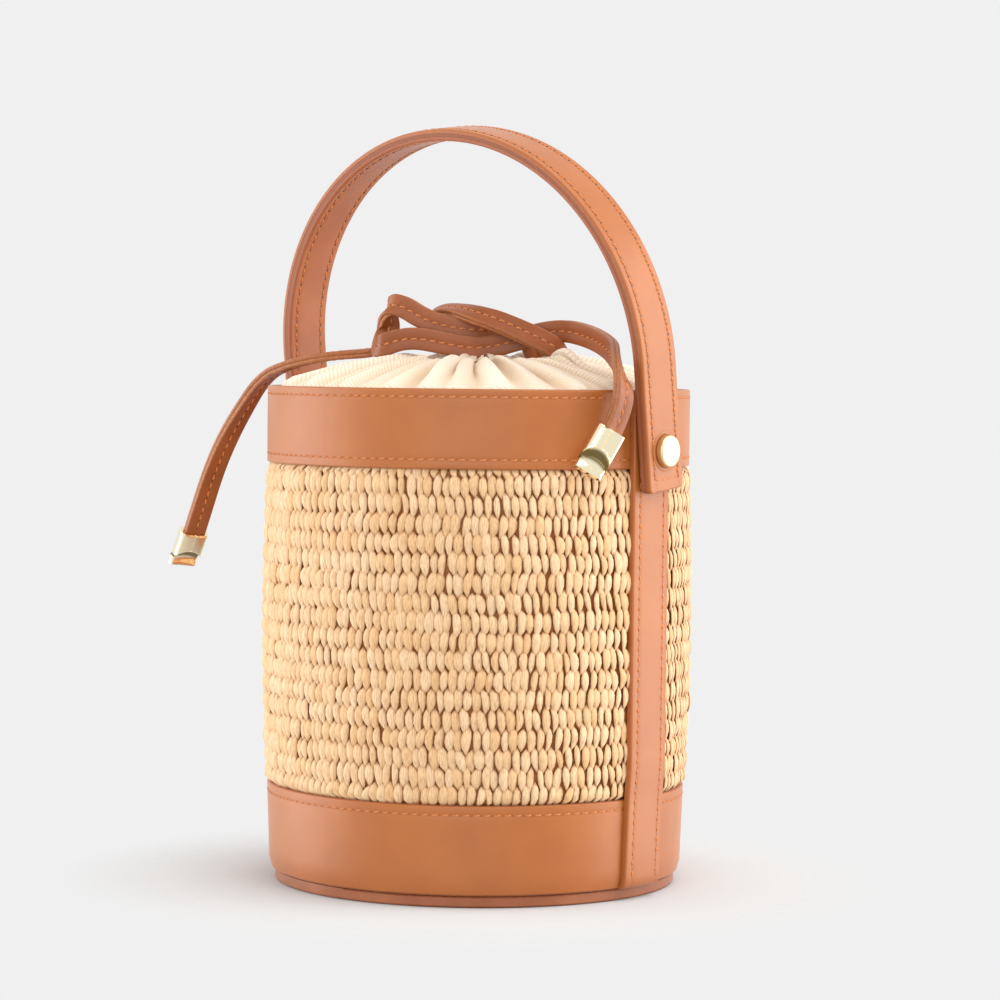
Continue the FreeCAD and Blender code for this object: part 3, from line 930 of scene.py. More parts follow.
@dataclass
class Slab:
    """Section of a leather strip as (across, depth): flat back, rounded edges and a pressed line at each seam."""

    half_width: float
    thickness: float
    seams: tuple[float, ...] = ()
    rounding: float = 0.7
    back_rounding: float = 0.08
    puff: float = 0.0
    groove: float = 0.16

    def face(self, y: np.ndarray) -> np.ndarray:
        """Depth of the face below its highest line: rounding at the edges, grooves at the seams, and the puff.

        Args:
            y: Distances across from the middle.

        Returns:
            The depth at each of them.
        """
        depth = corner_drop(self.half_width - np.abs(y), self.rounding)
        for seam in self.seams:
            depth = depth + self.groove * np.exp(-(((np.abs(y) - seam) / 0.7) ** 2))
        return depth + self.puff * (np.abs(y) / self.half_width) ** 2

    def loop(self) -> tuple[np.ndarray, np.ndarray, np.ndarray]:
        """The section's (across, depth, edge value), once round.

        Returns:
            Three arrays of the same length.
        """
        w, e = self.half_width, self.rounding
        turn = e * (1 - np.cos(np.linspace(0, math.pi / 2, 6)))
        stops = [-w + turn, w - turn, np.linspace(-w + e, w - e, 9)]
        stops += [side * seam + np.linspace(-1.5, 1.5, 7) for seam in self.seams for side in (-1, 1)]
        y = np.unique(np.round(np.concatenate(stops), 5))
        depth = self.face(y)
        b = self.back_rounding
        back_y = np.array([w, w - b, 0.4 * w, 0.0, -0.4 * w, -w + b, -w])
        back_d = self.thickness - np.array([b, 0, 0, 0, 0, 0, b])
        edge = np.clip(1 - (w - np.abs(y)) / (0.5 * e), 0, 1)
        edge = np.concatenate([edge, [1, 1, 0.2, 0, 0.2, 1, 1]])
        return np.concatenate([y, back_y]), np.concatenate([depth, back_d]), edge


@dataclass
class SideStrip:
    """Leather strip from the rim to the sole, sewn down both sides."""

    side: Side
    seat: tuple[tuple[float, float], ...] = FOOT_LINE + ((BODY_R, 46.8), (BODY_R, RIM_Z))
    slab: Slab = field(default_factory=lambda: Slab(10.0, 2.05, (STRIP_SEAM_MM,), rounding=0.65, groove=0.14))

    def place(self, z: np.ndarray, y: np.ndarray, depth: np.ndarray) -> np.ndarray:
        """Points of the strip: the seat's radius at that height plus the thickness left there, bent round the drum.

        Args:
            z: Heights.
            y: Distances across from the strip's middle.
            depth: Depths below its highest line.

        Returns:
            The points in millimetres.
        """
        r = np.interp(z, [p[1] for p in self.seat], [p[0] for p in self.seat]) + 2.1 - depth
        x = np.sqrt(np.maximum(r**2 - y**2, 1.0))
        x, y, z = np.broadcast_arrays(x, y, z)
        return np.stack([self.side.value * x, self.side.value * y, z], -1)

    def shell(self) -> Shell:
        """The strip, its section carried up the seat, with both ends eased.

        Returns:
            The closed strip.
        """
        ends = np.array([0.0, 0.07, 0.2, 0.4, 0.65])
        low, high = self.seat[0][1], self.seat[-1][1]
        z = np.concatenate([low + ends, np.linspace(low + 1.2, high - 1.2, 110), (high - ends)[::-1]])[:, None]
        y, depth, edge = self.slab.loop()
        drop = corner_drop(np.minimum(z - low, high - z), 0.65)
        sunk = np.where(depth < 1.2, np.minimum(depth + drop, 1.6), depth + 0 * z)
        rings = self.place(z, y + 0 * z, sunk) * MM
        at_end = np.clip(1 - np.minimum(z - low, high - z) / 0.35, 0, 1)
        return lofted(rings, {"edge": np.maximum(edge + 0 * z, at_end)})

    def seam_lines(self) -> list[tuple[np.ndarray, bool]]:
        """The two seams, from just above the sole to just below the rim.

        Returns:
            Each line as rows of position and normal, and that it is open.
        """
        z = np.linspace(7.5, 172.0, 300)
        lines = []
        for y in (-STRIP_SEAM_MM, STRIP_SEAM_MM):
            across = np.full_like(z, y)
            place = self.place(z, across, np.full_like(z, 0.14))
            out = unit(place * np.array([1.0, 1.0, 0.0]))
            lines.append((np.concatenate([place, out], 1), False))
        return lines

    def build(self, finishes: Finishes) -> None:
        """The strip and its stitching.

        Args:
            finishes: The bag's finishes.
        """
        name = self.side.name.lower() + "_strip"
        piece(name + "_leather", self.shell(), finishes.leather, stands_for=(name,))
        seam_piece(name + "_stitches", self.seam_lines(), Stitching(), finishes.thread, "root")


@dataclass
class StrapHandle:
    """Strap handle of three layers, standing on the studs and leaning forward a little."""

    half_width: float = 9.75
    half_span: float = 82.0
    rise: float = 113.0
    tail: float = 13.7
    apex_x: float = -2.0
    lean_deg: float = 7.0
    corner: float = 2.0
    seam_in: float = 3.15
    layers: tuple[tuple[str, str, float, float], ...] = (
        ("handle_outer", "leather", 0.0, 1.7),
        ("handle_core", "bonded_core", 1.7, 2.8),
        ("handle_lining", "leather_back", 2.8, 4.5),
    )

    def line(self) -> tuple[np.ndarray, np.ndarray, np.ndarray]:
        """The strap's outer line as (x, height above the pivot), its outward normal, and the distance from its end.

        It runs up the right side, over a quarter circle on each side of the apex, and down the left side.

        Returns:
            Three arrays, one row for each step along the strap.
        """
        right_r, left_r = self.half_span - self.apex_x, self.half_span + self.apex_x
        ends = np.array([0.0, 0.06, 0.18, 0.36, 0.6, 0.9, 1.25, 1.6, 2.0])
        right_z, left_z = self.rise - right_r, self.rise - left_r
        up = np.concatenate([ends, np.linspace(3.0, right_z + self.tail - 1.0, 34)]) - self.tail
        down = np.concatenate([ends, np.linspace(3.0, left_z + self.tail - 1.0, 36)])[::-1] - self.tail
        first = np.linspace(0, math.pi / 2, 90)
        second = np.linspace(math.pi / 2, math.pi, 86)[1:]
        arch = [self.apex_x + right_r * np.cos(first), self.apex_x + left_r * np.cos(second)]
        x = np.concatenate([np.full(len(up), self.half_span), *arch, np.full(len(down), -self.half_span)])
        z = np.concatenate([up, right_z + right_r * np.sin(first), left_z + left_r * np.sin(second), down])
        angle = np.concatenate([np.zeros(len(up)), first, second, np.full(len(down), math.pi)])
        away = np.concatenate([up + self.tail, np.full(len(first) + len(second), 99.0), down + self.tail])
        return np.stack([x, z], 1), np.stack([np.cos(angle), np.sin(angle)], 1), away

    def leaned(self, x: np.ndarray, y: np.ndarray, z: np.ndarray) -> np.ndarray:
        """Points turned forward about the pivot: the usual turn about the X axis."""
        c, s = math.cos(math.radians(self.lean_deg)), math.sin(math.radians(self.lean_deg))
        return np.stack([x, y * c - z * s, PIVOT_Z + y * s + z * c], -1)

    def width_at(self, away: np.ndarray) -> np.ndarray:
        """Share of the half width at a distance from the end, for the rounded corners."""
        return (self.half_width - corner_drop(away, self.corner)) / self.half_width

    def layer(self, near: float, far: float, slab: Slab, inward: bool) -> Shell:
        """One layer between two depths.

        Args:
            near: Depth of the layer's outer face below the strap's outer line.
            far: Depth of its inner face.
            slab: Its section.
            inward: The dressed face looks into the arch.

        Returns:
            The layer's shell.
        """
        place, normal, away = self.line()
        y, depth, edge = slab.loop()
        drop = corner_drop(away, slab.rounding)[:, None]
        lowered = np.minimum(depth + drop, slab.thickness * 0.75)
        depth = np.where(depth < slab.thickness * 0.7, lowered, depth + 0 * drop)
        level = far - depth if inward else near + depth
        across = y[None, :] * self.width_at(away)[:, None]
        x = place[:, :1] - level * normal[:, :1]
        z = place[:, 1:] - level * normal[:, 1:]
        at_end = np.clip(1 - away / 0.4, 0, 1)[:, None]
        return lofted(self.leaned(x, across, z) * MM, {"edge": np.maximum(edge[None, :], at_end)})

    def seam(self, level: float, inward: bool) -> np.ndarray:
        """One closed seam round a face of the strap, a fixed distance in from its edges.

        Args:
            level: Depth of the face below the strap's outer line.
            inward: The face looks into the arch.

        Returns:
            Rows of position and normal, in millimetres.
        """
        place, normal, away = self.line()
        run = away > self.seam_in
        place, normal = place[run] - level * normal[run], normal[run]
        inset = self.half_width - self.seam_in
        out = np.stack([normal[:, 0], 0 * normal[:, 0], normal[:, 1]], 1) * (-1 if inward else 1)
        up, back = (
            np.concatenate([np.stack([place[:, 0], np.full(len(place), y), place[:, 1]], 1), out], 1)
            for y in (inset, -inset)
        )
        loop = np.concatenate([up, back[::-1], up[:1]])
        where = self.leaned(loop[:, 0], loop[:, 1], loop[:, 2])
        c, s = math.cos(math.radians(self.lean_deg)), math.sin(math.radians(self.lean_deg))
        facing = np.stack([loop[:, 3], -loop[:, 5] * s, loop[:, 5] * c], 1)
        return np.concatenate([where, facing], 1)

    def stud_ring(self, side: Side) -> Shell:
        """Leather pressed up round a stud: a low ring on the strap's face.

        Args:
            side: Which stud.

        Returns:
            The ring.
        """
        turn = np.linspace(0, 2 * math.pi, 48, endpoint=False)[:, None]
        ring = np.linspace(0, 2 * math.pi, 12, endpoint=False)[None, :]
        r = 6.35 + 0.75 * np.cos(ring)
        x = self.half_span - 0.12 + 0.34 * np.sin(ring) + 0 * turn
        points = np.stack([side.value * x, r * np.cos(turn), PIVOT_Z + r * np.sin(turn)], -1) * MM
        return lofted(points, {"edge": np.zeros(points.shape[:2])}, looped=True)

    def build(self, finishes: Finishes) -> None:
        """The layers, their stitching and the pressed rings.

        Args:
            finishes: The bag's finishes.
        """
        seam = self.half_width - self.seam_in
        face = Slab(self.half_width, 1.7, (seam,), rounding=0.8, puff=0.15, groove=0.2)
        core = Slab(self.half_width - 0.08, 1.1, rounding=0.08)
        looks = {"leather": finishes.leather, "bonded_core": finishes.core, "leather_back": finishes.leather_back}
        for name, slot, near, far in self.layers:
            slab = core if slot == "bonded_core" else face
            shell = self.layer(near, far, slab, slot == "leather_back")
            piece(name + "_layer", shell, looks[slot], "handle", (name,))
        lines = [(self.seam(0.2, False), True), (self.seam(4.3, True), True)]
        seam_piece("handle_stitches", lines, Stitching(), finishes.thread, "handle")
        for side in Side:
            piece(side.name.lower() + "_stud_press", self.stud_ring(side), finishes.leather, "handle")


@dataclass
class RimFacing:
    """Leather facing inside the rim band, with an eased top edge."""

    inner: float = 71.3
    outer: float = 73.1
    low: float = 153.0
    high: float = RIM_Z

    def build(self, finishes: Finishes) -> None:
        """The full ring.

        Args:
            finishes: The bag's finishes.
        """
        turn = np.linspace(0, math.pi / 2, 6)
        e = 0.6
        outer, inner = self.outer - e + e * np.cos(turn), self.inner + e - e * np.sin(turn)
        r = np.concatenate([[self.inner, self.outer], outer, inner])
        z = np.concatenate([[self.low, self.low], self.high - e + e * np.sin(turn), self.high - e + e * np.cos(turn)])
        angle = np.linspace(0, 2 * math.pi, 240, endpoint=False)[:, None]
        rings = np.stack([r * np.cos(angle), r * np.sin(angle), z + 0 * angle], -1) * MM
        edge = np.clip((z - self.high + 1.0) / 0.6, 0, 1)
        shell = lofted(rings, {"edge": np.broadcast_to(edge, rings.shape[:2]).copy()}, looped=True)
        piece("rim_facing_leather", shell, finishes.leather_back, stands_for=("rim_facing",))


# ---------------------------------------------------------------- pouch


@dataclass
class Pouch:
    """Cotton pouch gathered on a drawn lace: soft folds that deepen towards the mouth."""

    columns: int = 600
    folds: int = 42
    seed: int = 5

    def profile(self) -> np.ndarray:
        """Radius, height and fold size of the cloth, from its seam inside the rim to inside its mouth.

        Returns:
            Rows of radius, height, fold size and running length, in millimetres.
        """
        stations = np.array([
            (70.9, 161.0, 0.0), (71.0, 168.0, 0.0), (70.7, 172.6, 0.4), (69.2, 175.2, 1.5), (65.5, 177.0, 2.4),
            (60.0, 178.5, 2.5), (53.0, 180.2, 2.9), (46.0, 181.6, 3.0), (39.0, 182.8, 3.0), (33.0, 183.8, 3.0),
            (28.5, 184.4, 2.9), (25.0, 184.2, 2.6), (22.0, 183.2, 2.0), (19.5, 183.4, 2.0), (17.2, 184.8, 2.2),
            (15.2, 185.6, 2.0), (13.2, 185.0, 1.8), (11.6, 183.0, 1.5), (10.8, 180.0, 1.2), (10.5, 177.5, 1.0),
        ])
        run = np.concatenate([[0], np.cumsum(np.hypot(*np.diff(stations[:, :2], axis=0).T))])
        at = np.linspace(0, run[-1], 84)
        return np.stack([np.interp(at, run, stations[:, k]) for k in range(3)] + [at], 1)

    def fold_wave(self, angle: np.ndarray, inward: np.ndarray) -> np.ndarray:
        """Height of the folds from -1 to 1: rounded ridges with narrow valleys, fewer and broader near the rim.

        Args:
            angle: Angle round the pouch.
            inward: 0 at the rim and 1 at the mouth.

        Returns:
            The fold height.
        """
        warp = 0.11 * noise_wave(angle, self.seed, 6, 2, 9) + 0.05 * inward * np.sin(3 * angle)
        fine = self.folds * (angle + warp) + 2.6 * inward
        broad = round(self.folds * 0.55) * (angle + 1.25 * warp) + 0.8
        ridge = 1 - 2 * np.abs(np.cos(fine / 2 + 0.5 * np.sin(2.0 * inward + 3 * angle))) ** 3.0
        swell = np.sin(broad + 1.2 * inward)
        size = 0.75 + 0.35 * noise_wave(angle, self.seed + 3, 5, 3, 11)
        ridge = ridge * (0.65 + 0.35 * eased((inward - 0.1) / 0.5))
        return size * (ridge + 0.55 * swell * (1 - 0.55 * inward)) - 0.3

    def shell(self) -> Shell:
        """The cloth as an outer and an inner face joined at both rims.

        The profile is turned about Z. Each fold lifts the cloth and leans it sideways.

        Returns:
            The closed cloth, with its weave coordinates and the depth of its folds.
        """
        line = self.profile()
        angle = np.linspace(0, 2 * math.pi, self.columns, endpoint=False)[:, None]
        r, z, size, run = (line[None, :, k] for k in range(4))
        inward = np.clip((70.0 - r) / 45.0, 0, 1)
        fold = self.fold_wave(angle + 0 * r, inward + 0 * angle)
        slope_r, slope_z = np.gradient(line[:, 0]), np.gradient(line[:, 1])
        size_n = np.hypot(slope_r, slope_z)
        out_r, out_z = (slope_z / size_n)[None, :], (-slope_r / size_n)[None, :]
        lean = 0.9 * size * np.cos(self.folds * angle + 5 * inward) * inward
        lift = size * fold * 0.85
        # A fold stands up beside the hole where one lace comes out, and the cloth is slack between hole and rim there.
        x0, y0 = r * np.cos(angle), r * np.sin(angle)
        corner = 4.6 * np.exp(-(((x0 - 38.0) / 6.5) ** 2 + ((y0 - 1.5) / 6.0) ** 2))
        corner = corner - 3.0 * np.exp(-(((x0 - 30.5) / 3.2) ** 2 + ((y0 - 5.5) / 3.4) ** 2))
        rr = r + lift * out_r
        zz = z + lift * out_z + corner
        turn = angle + lean / np.maximum(r, 12.0) * 0.55
        outer = np.stack([rr * np.cos(turn), rr * np.sin(turn), zz], -1)
        normal = np.stack([out_r * np.cos(angle), out_r * np.sin(angle), out_z + 0 * angle], -1)
        inner = outer - 0.55 * normal
        rings = np.concatenate([outer, inner[:, ::-1]], 1) * MM
        lie = np.stack([angle * 45 + 0 * r, run + 0 * angle, 0 * r * angle], -1)
        # Painted shade: the cloth darkens to the valley colour at the bottom of each fold, more where the folds are
        # large.
        valley = np.clip(0.35 - 0.65 * fold, 0, 1) * np.clip(size / 2.0, 0, 1)
        both = {key: np.concatenate([v, v[:, ::-1]], 1) for key, v in (("lie", lie), ("edge", valley))}
        return lofted(rings, both, looped=True)

    def build(self, finishes: Finishes) -> None:
        """The pouch.

        Args:
            finishes: The bag's finishes.
        """
        cloth = piece(
            "gathered_pouch", self.shell(), finishes.pouch, stands_for=("pouch_collar",), crease=80.0
        )


@dataclass
class ChannelLace:
    """The lace drawn round the mouth inside the hem, flat side out."""

    radius: float = 19.5
    height: float = 181.4

    def build(self, finishes: Finishes) -> None:
        """The closed ribbon.

        Args:
            finishes: The bag's finishes.
        """
        half = [(-1.3, -2.6), (-1.4, -2.3), (-1.4, 2.3), (-1.3, 2.6)]
        section = np.array(half + [(-a, -b) for a, b in half])
        angle = np.linspace(0, 2 * math.pi, 96, endpoint=False)[:, None]
        r = self.radius + section[:, 0]
        rings = np.stack([r * np.cos(angle), r * np.sin(angle), self.height + section[:, 1] + 0 * angle], -1) * MM
        shell = lofted(rings, {"edge": np.zeros(rings.shape[:2])}, looped=True)
        piece("channel_lace_ribbon", shell, finishes.lace, stands_for=("channel_lace",))


# ---------------------------------------------------------------- laces


def route_line(name: str, route: list[tuple[float, float, float]]) -> np.ndarray:
    """Points of the smooth line that a lace follows, read from its spline.

    Args:
        name: Name of the lace.
        route: Control points in metres.

    Returns:
        Points about 0.8 mm apart.
    """
    curve = bpy.data.curves.new(name + "_line", "CURVE")
    curve.dimensions = "3D"
    spline = curve.splines.new("NURBS")
    spline.points.add(len(route) - 1)
    spline.points.foreach_set("co", np.array([(*p, 1.0) for p in route], np.float32).ravel())
    spline.order_u = 3
    spline.use_endpoint_u = True
    spline.resolution_u = 16
    holder = bpy.data.objects.new(name + "_line", curve)
    bpy.context.scene.collection.objects.link(holder)
    mesh = bpy.data.meshes.new_from_object(holder)
    line = np.zeros(len(mesh.vertices) * 3, np.float64)
    mesh.vertices.foreach_get("co", line)
    bpy.data.objects.remove(holder)
    bpy.data.curves.remove(curve)
    bpy.data.meshes.remove(mesh)
    return resample(line.reshape(-1, 3), 0.0008)


@dataclass
class Lace:
    """Flat lace of two leather layers, glued and stitched down the middle, that ends in a brass tip."""

    side: Side
    route: list[tuple[float, float, float]]
    across: tuple[tuple[int, tuple[float, float, float]], ...]
    tip_end: tuple[float, float, float]
    tip_across: tuple[float, float, float]
    width_mm: float = 7.8
    thick_mm: float = 3.2

    def frames(self, line: np.ndarray) -> tuple[np.ndarray, np.ndarray, np.ndarray]:
        """Direction, width direction and face normal at each point.

        The width direction is given at some of the route's points. It is read between them by running length,
        smoothed over about 8 mm and squared to the line.

        Args:
            line: Points along the lace, in metres.

        Returns:
            Three arrays of unit rows.
        """
        ahead = unit(np.gradient(line, axis=0))
        route = np.array(self.route)
        stops = np.array([int(np.argmin(np.linalg.norm(line - route[k], axis=1))) for k, _ in self.across], float)
        stops = np.maximum.accumulate(stops + 0.01 * np.arange(len(stops)))
        given = unit(np.array([v for _, v in self.across], float))
        wide = np.stack([np.interp(np.arange(len(line)), stops, given[:, k]) for k in range(3)], 1)
        kernel = np.hanning(13) / np.hanning(13).sum()
        padded = np.pad(wide, ((6, 6), (0, 0)), mode="edge")
        wide = np.stack([np.convolve(padded[:, k], kernel, "valid") for k in range(3)], 1)
        wide = unit(wide - ahead * np.einsum("ij,ij->i", wide, ahead)[:, None])
        return ahead, wide, np.cross(ahead, wide)

    def section(self) -> tuple[np.ndarray, np.ndarray]:
        """The section as (across, out) in metres, and its edge value.

        It has round shoulders, a notch between the two layers at each side and a pressed line down the middle.

        Returns:
            The points and their edge values, once round.
        """
        w, t = self.width_mm / 2, self.thick_mm / 2
        top = np.array([
            (-w + 0.25, 0.0), (-w, 0.22), (-w, 0.75 * t), (-w + 0.22, 0.95 * t), (-w + 0.65, t), (-1.3, t * 0.99),
            (-0.55, t * 0.9), (0.0, t * 0.84), (0.55, t * 0.9), (1.3, t * 0.99), (w - 0.65, t), (w - 0.22, 0.95 * t),
            (w, 0.75 * t), (w, 0.22),
        ])
        edge = np.array([1, 1, 1, 0.6, 0.1, 0, 0, 0, 0, 0, 0.1, 0.6, 1, 1], float)
        return np.concatenate([top, -top]) * MM, np.concatenate([edge, edge])

    def build(self, finishes: Finishes) -> None:
        """The lace with its tip and stitches.

        Args:
            finishes: The bag's finishes.
        """
        name = self.side.name.lower() + "_lace"
        line = route_line(name, self.route)
        ahead, wide, out = self.frames(line)
        section, edge = self.section()
        rings = line[:, None, :] + section[None, :, :1] * wide[:, None, :] + section[None, :, 1:] * out[:, None, :]
        shell = lofted(rings, {"edge": np.broadcast_to(edge, rings.shape[:2]).copy()})
        lace = piece(name + "_ribbon", shell, finishes.lace, stands_for=(name,), crease=50.0)
        sewing = Stitching(pitch_mm=3.3, length_mm=2.5, thick_mm=0.6, slant_deg=7.0, hole_mm=0.6)
        lines = []
        for way in (1, -1):
            face = line / MM + way * out * self.thick_mm / 2 * 0.86
            lines.append((np.concatenate([face, way * out], 1)[6:-3], False))
        stitches = seam_piece(name + "_stitches", lines, sewing, finishes.thread, "root")
        tip = LaceTip(name + "_tip", self.route[-1], self.tip_end, self.tip_across).build(finishes)


@dataclass
class LaceTip:
    """Brass cap folded round the lace's end: a seam down its front, and the front cut back in an arch."""

    name: str
    mouth: tuple[float, float, float]
    end: tuple[float, float, float]
    across: tuple[float, float, float]
    width: float = 10.5
    depth: float = 5.5
    length: float = 16.5

    def past_arch(self, x: np.ndarray, t: np.ndarray) -> np.ndarray:
        """How far past the arch, from 0 at the arch to 1 at the cap's end: the arch lies lower towards the sides."""
        arch = 0.47 + 0.2 * np.abs(x) ** 2.2
        return np.clip((t - arch) / (1.0 - arch), 0, 1)

    def front(self, x: np.ndarray, t: np.ndarray) -> np.ndarray:
        """Height of the front above the cap's middle plane: full down to the arch, then scooped, then a raised lip.

        Args:
            x: Across, -1 to 1.
            t: Along, 0 at the mouth to 1 at the end.

        Returns:
            The height in millimetres.
        """
        past = self.past_arch(x, t)
        scoop = 1 - (1 - np.clip(past / 0.42, 0, 1)) ** 2
        front = self.depth / 2 - scoop * (self.depth - 2.6)
        front = front + 0.55 * eased((past - 0.55) / 0.45)
        seam = 0.3 * np.exp(-((x / 0.022) ** 2)) * (past <= 0)
        crown = 0.45 * np.abs(x) ** 2.5 * (1 - past)
        return front - seam - crown

    def shade(self, x: np.ndarray, t: np.ndarray) -> np.ndarray:
        """Painted shade of the scoop just under the arch, from 0 to 1."""
        past = self.past_arch(x, t)
        return eased(past / 0.12) * (1 - eased((past - 0.38) / 0.2))

    def shell(self) -> Shell:
        """The cap: rings round its section, one for each step along it.

        Returns:
            The closed cap.
        """
        t = np.concatenate([[0.0, 0.012, 0.03], np.linspace(0.06, 0.96, 66), [0.98, 0.992, 1.0]])[:, None]
        sides = [-1, -0.985, -0.96, 0.96, 0.985, 1]
        x = np.unique(np.concatenate([np.linspace(-0.9, 0.9, 41), np.linspace(-0.09, 0.09, 13), sides]))[None, :]
        rim = 0.35 * (1 - np.sqrt(np.clip(1 - (np.clip(0.03 - t, 0, 1) / 0.03) ** 2, 0, 1)))
        side = 1.5 * (1 - np.sqrt(np.clip(1 - (np.clip(np.abs(x) - 0.8, 0, 1) / 0.2) ** 2, 0, 1)))
        front = self.front(x, t) - side - rim
        back = np.minimum(-self.depth / 2 + side * 0.8 + rim, front - 0.25)
        across = x * (self.width / 2 - rim)
        ring_x = np.concatenate([across + 0 * t, (across + 0 * t)[:, ::-1]], 1)
        ring_y = np.concatenate([front, back[:, ::-1]], 1)
        axis = unit(np.array(self.end) - np.array(self.mouth))
        wide = unit(np.array(self.across) - axis * np.dot(self.across, axis))
        deep = np.cross(axis, wide)
        along = (t * self.length + 0 * ring_x)[..., None] * MM
        rings = np.array(self.mouth) + along * axis + ring_x[..., None] * MM * wide + ring_y[..., None] * MM * deep
        # Painted shade in the scoop, on the front face only, carried in the edge value.
        shade = np.concatenate([self.shade(x, t) + 0 * ring_x[:, : x.size], 0 * ring_x[:, : x.size]], 1)
        return lofted(rings, {"edge": shade})

    def build(self, finishes: Finishes) -> bpy.types.Object:
        """The cap."""
        return piece(self.name + "_cap", self.shell(), finishes.tip, stands_for=(self.name,), crease=28.0)


# ---------------------------------------------------------------- carried-over solids and studio


def dress_solids(finishes: Finishes) -> None:
    """Gives each solid that stays its own finish.

    Args:
        finishes: The bag's finishes.
    """
    looks = {
        "sole": finishes.sole, "base_board": finishes.board, "base_lining": finishes.lining,
        "wall_lining": finishes.lining, "wall_stiffener": finishes.felt,
    }
    for side in Side:
        for part in ("stud", "stud_washer", "stud_screw"):
            looks[side.name.lower() + "_" + part] = finishes.stud
    for name, material in looks.items():
        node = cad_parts[name]
        node.data.materials.clear()
        node.data.materials.append(material)
        LOG.info("%s dressed as %s", name, material.name)


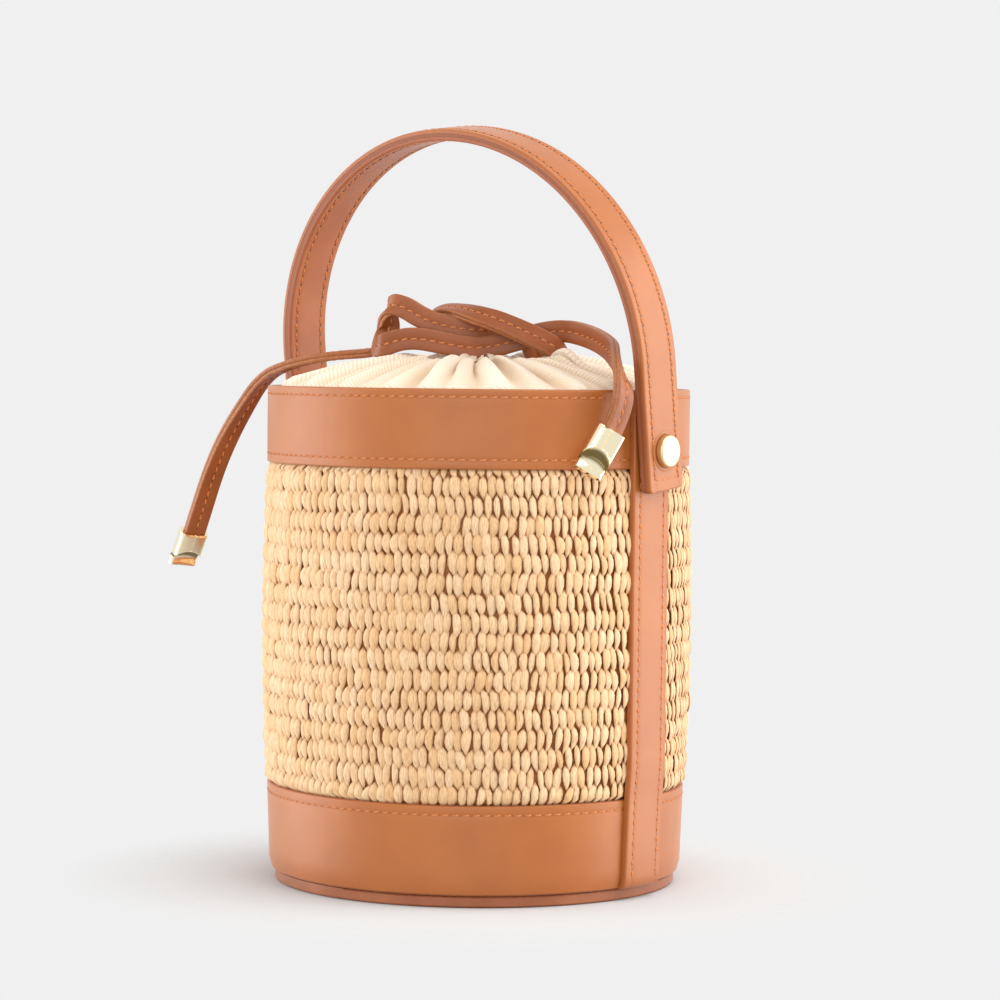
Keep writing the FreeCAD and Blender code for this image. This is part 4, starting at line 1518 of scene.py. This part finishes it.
@dataclass
class Studio:
    """White studio: even surround, large soft lights at both sides, pale floor and the camera."""

    azimuth_deg: float = 39.0
    distance: float = 1.2
    height: float = 0.18426
    aim_across: float = 0.00785
    aim_z: float = 0.13469
    roll_deg: float = 0.6
    lens_mm: float = 121.35

    def camera(self) -> None:
        """Camera in front and to the right of the bag, a little above it, rolled half a degree."""
        a = math.radians(self.azimuth_deg)
        right = Vector((math.cos(a), math.sin(a), 0.0))
        place = Vector((math.sin(a), -math.cos(a), 0.0)) * self.distance + Vector((0, 0, self.height))
        aim = right * self.aim_across + Vector((0, 0, self.aim_z))
        data = bpy.data.cameras.new("camera")
        data.lens, data.sensor_width = self.lens_mm, 36.0
        data.clip_start, data.clip_end = 0.05, 20.0
        camera = bpy.data.objects.new("camera", data)
        bpy.context.scene.collection.objects.link(camera)
        turn = (aim - place).to_track_quat("-Z", "Y").to_matrix().to_4x4()
        turn = turn @ Matrix.Rotation(math.radians(self.roll_deg), 4, "Z")
        turn.translation = place
        camera.matrix_world = turn
        bpy.context.scene.camera = camera

    def light(
        self, name: str, azimuth: float, height: float, distance: float, size: tuple[float, float], power: float
    ) -> None:
        """Soft light aimed at the bag's middle.

        Args:
            name: The light's name.
            azimuth: Angle round the bag, counted as the camera's is.
            height: Height of its centre.
            distance: Distance from the bag's axis.
            size: Width and height of its face.
            power: Power in watts.
        """
        a = math.radians(azimuth)
        data = bpy.data.lights.new(name, "AREA")
        data.shape, data.size, data.size_y, data.energy = "RECTANGLE", size[0], size[1], power
        lamp = bpy.data.objects.new(name, data)
        bpy.context.scene.collection.objects.link(lamp)
        lamp.location = (distance * math.sin(a), -distance * math.cos(a), height)
        lamp.rotation_euler = (Vector((0, 0, 0.12)) - lamp.location).to_track_quat("-Z", "Y").to_euler()

    def floor(self) -> None:
        """Pale floor disc that fades into the surround."""
        material, tree = new_material("pale_floor")
        place = add_node(tree, "ShaderNodeTexCoord").outputs["Object"]
        far = add_node(tree, "ShaderNodeVectorMath", {0: place}, operation="LENGTH").outputs["Value"]
        fade = ranged(tree, far, 0.076, 0.15, 0.0, 1.0)
        paint = add_node(tree, "ShaderNodeBsdfDiffuse", {"Color": linear("#CDCDCD")}).outputs[0]
        clear = add_node(tree, "ShaderNodeBsdfTransparent").outputs[0]
        mixed = add_node(tree, "ShaderNodeMixShader", {0: fade, 1: paint, 2: clear}).outputs[0]
        add_node(tree, "ShaderNodeOutputMaterial", {"Surface": mixed})
        angle = np.linspace(0, 2 * math.pi, 64, endpoint=False)
        ring = np.stack([0.45 * np.cos(angle), 0.45 * np.sin(angle), 0 * angle - 0.0002], 1)
        mesh = bpy.data.meshes.new("floor")
        mesh.from_pydata(ring.tolist(), [], [list(range(64))])
        mesh.materials.append(material)
        disc = bpy.data.objects.new("floor", mesh)
        bpy.context.scene.collection.objects.link(disc)

    def build(self) -> None:
        """Camera, surround, lights and floor."""
        self.camera()
        world = bpy.data.worlds.new("surround")
        world.use_nodes = True
        world.node_tree.nodes["Background"].inputs[0].default_value = linear("#F0F0F0")
        world.node_tree.nodes["Background"].inputs[1].default_value = 1.0
        bpy.context.scene.world = world
        self.light("left_softbox", self.azimuth_deg - 98, 0.18, 1.1, (0.9, 1.4), 10.5)
        self.light("right_softbox", self.azimuth_deg + 92, 0.25, 1.1, (0.9, 1.4), 13.0)
        self.light("front_softbox", self.azimuth_deg - 8, 0.55, 1.8, (1.5, 1.1), 9.0)
        self.light("top_softbox", self.azimuth_deg + 55, 1.3, 0.6, (1.0, 1.0), 8.0)
        self.floor()
        bpy.context.scene.view_settings.view_transform = "Standard"


def main() -> None:
    """Builds the bag piece by piece."""
    logging.basicConfig(level=logging.INFO, format="%(message)s")
    Studio().build()
    finishes = Finishes()
    Lace(Side.LEFT, LEFT_LACE, LEFT_ACROSS, (-0.1199, -0.0263, 0.1073), (0.47, 0.88, -0.07)).build(finishes)
    Lace(Side.RIGHT, RIGHT_LACE, RIGHT_ACROSS, (0.0742, -0.0332, 0.1473), (0.59, 0.48, -0.65)).build(finishes)
    top = ((BODY_R, TOP_BAND_FOOT), (BODY_R, RIM_Z))
    for half in Half:
        word = half.name.lower()
        Band("top_band_" + word, half, TOP_BAND_FOOT, RIM_Z, top, (TOP_BAND_FOOT + 3.2, RIM_Z - 2.8)).build(finishes)
        foot = FOOT_LINE[0][1]
        Band("bottom_band_" + word, half, foot, BOTTOM_BAND_TOP, FOOT_LINE, (BOTTOM_BAND_TOP - 3.3,)).build(finishes)
        RaffiaWall("raffia_" + word, half).build(finishes)
    for side in Side:
        SideStrip(side).build(finishes)
    RimFacing().build(finishes)
    StrapHandle().build(finishes)
    Pouch().build(finishes)
    ChannelLace().build(finishes)
    dress_solids(finishes)


if __name__ == "__main__":
    main()
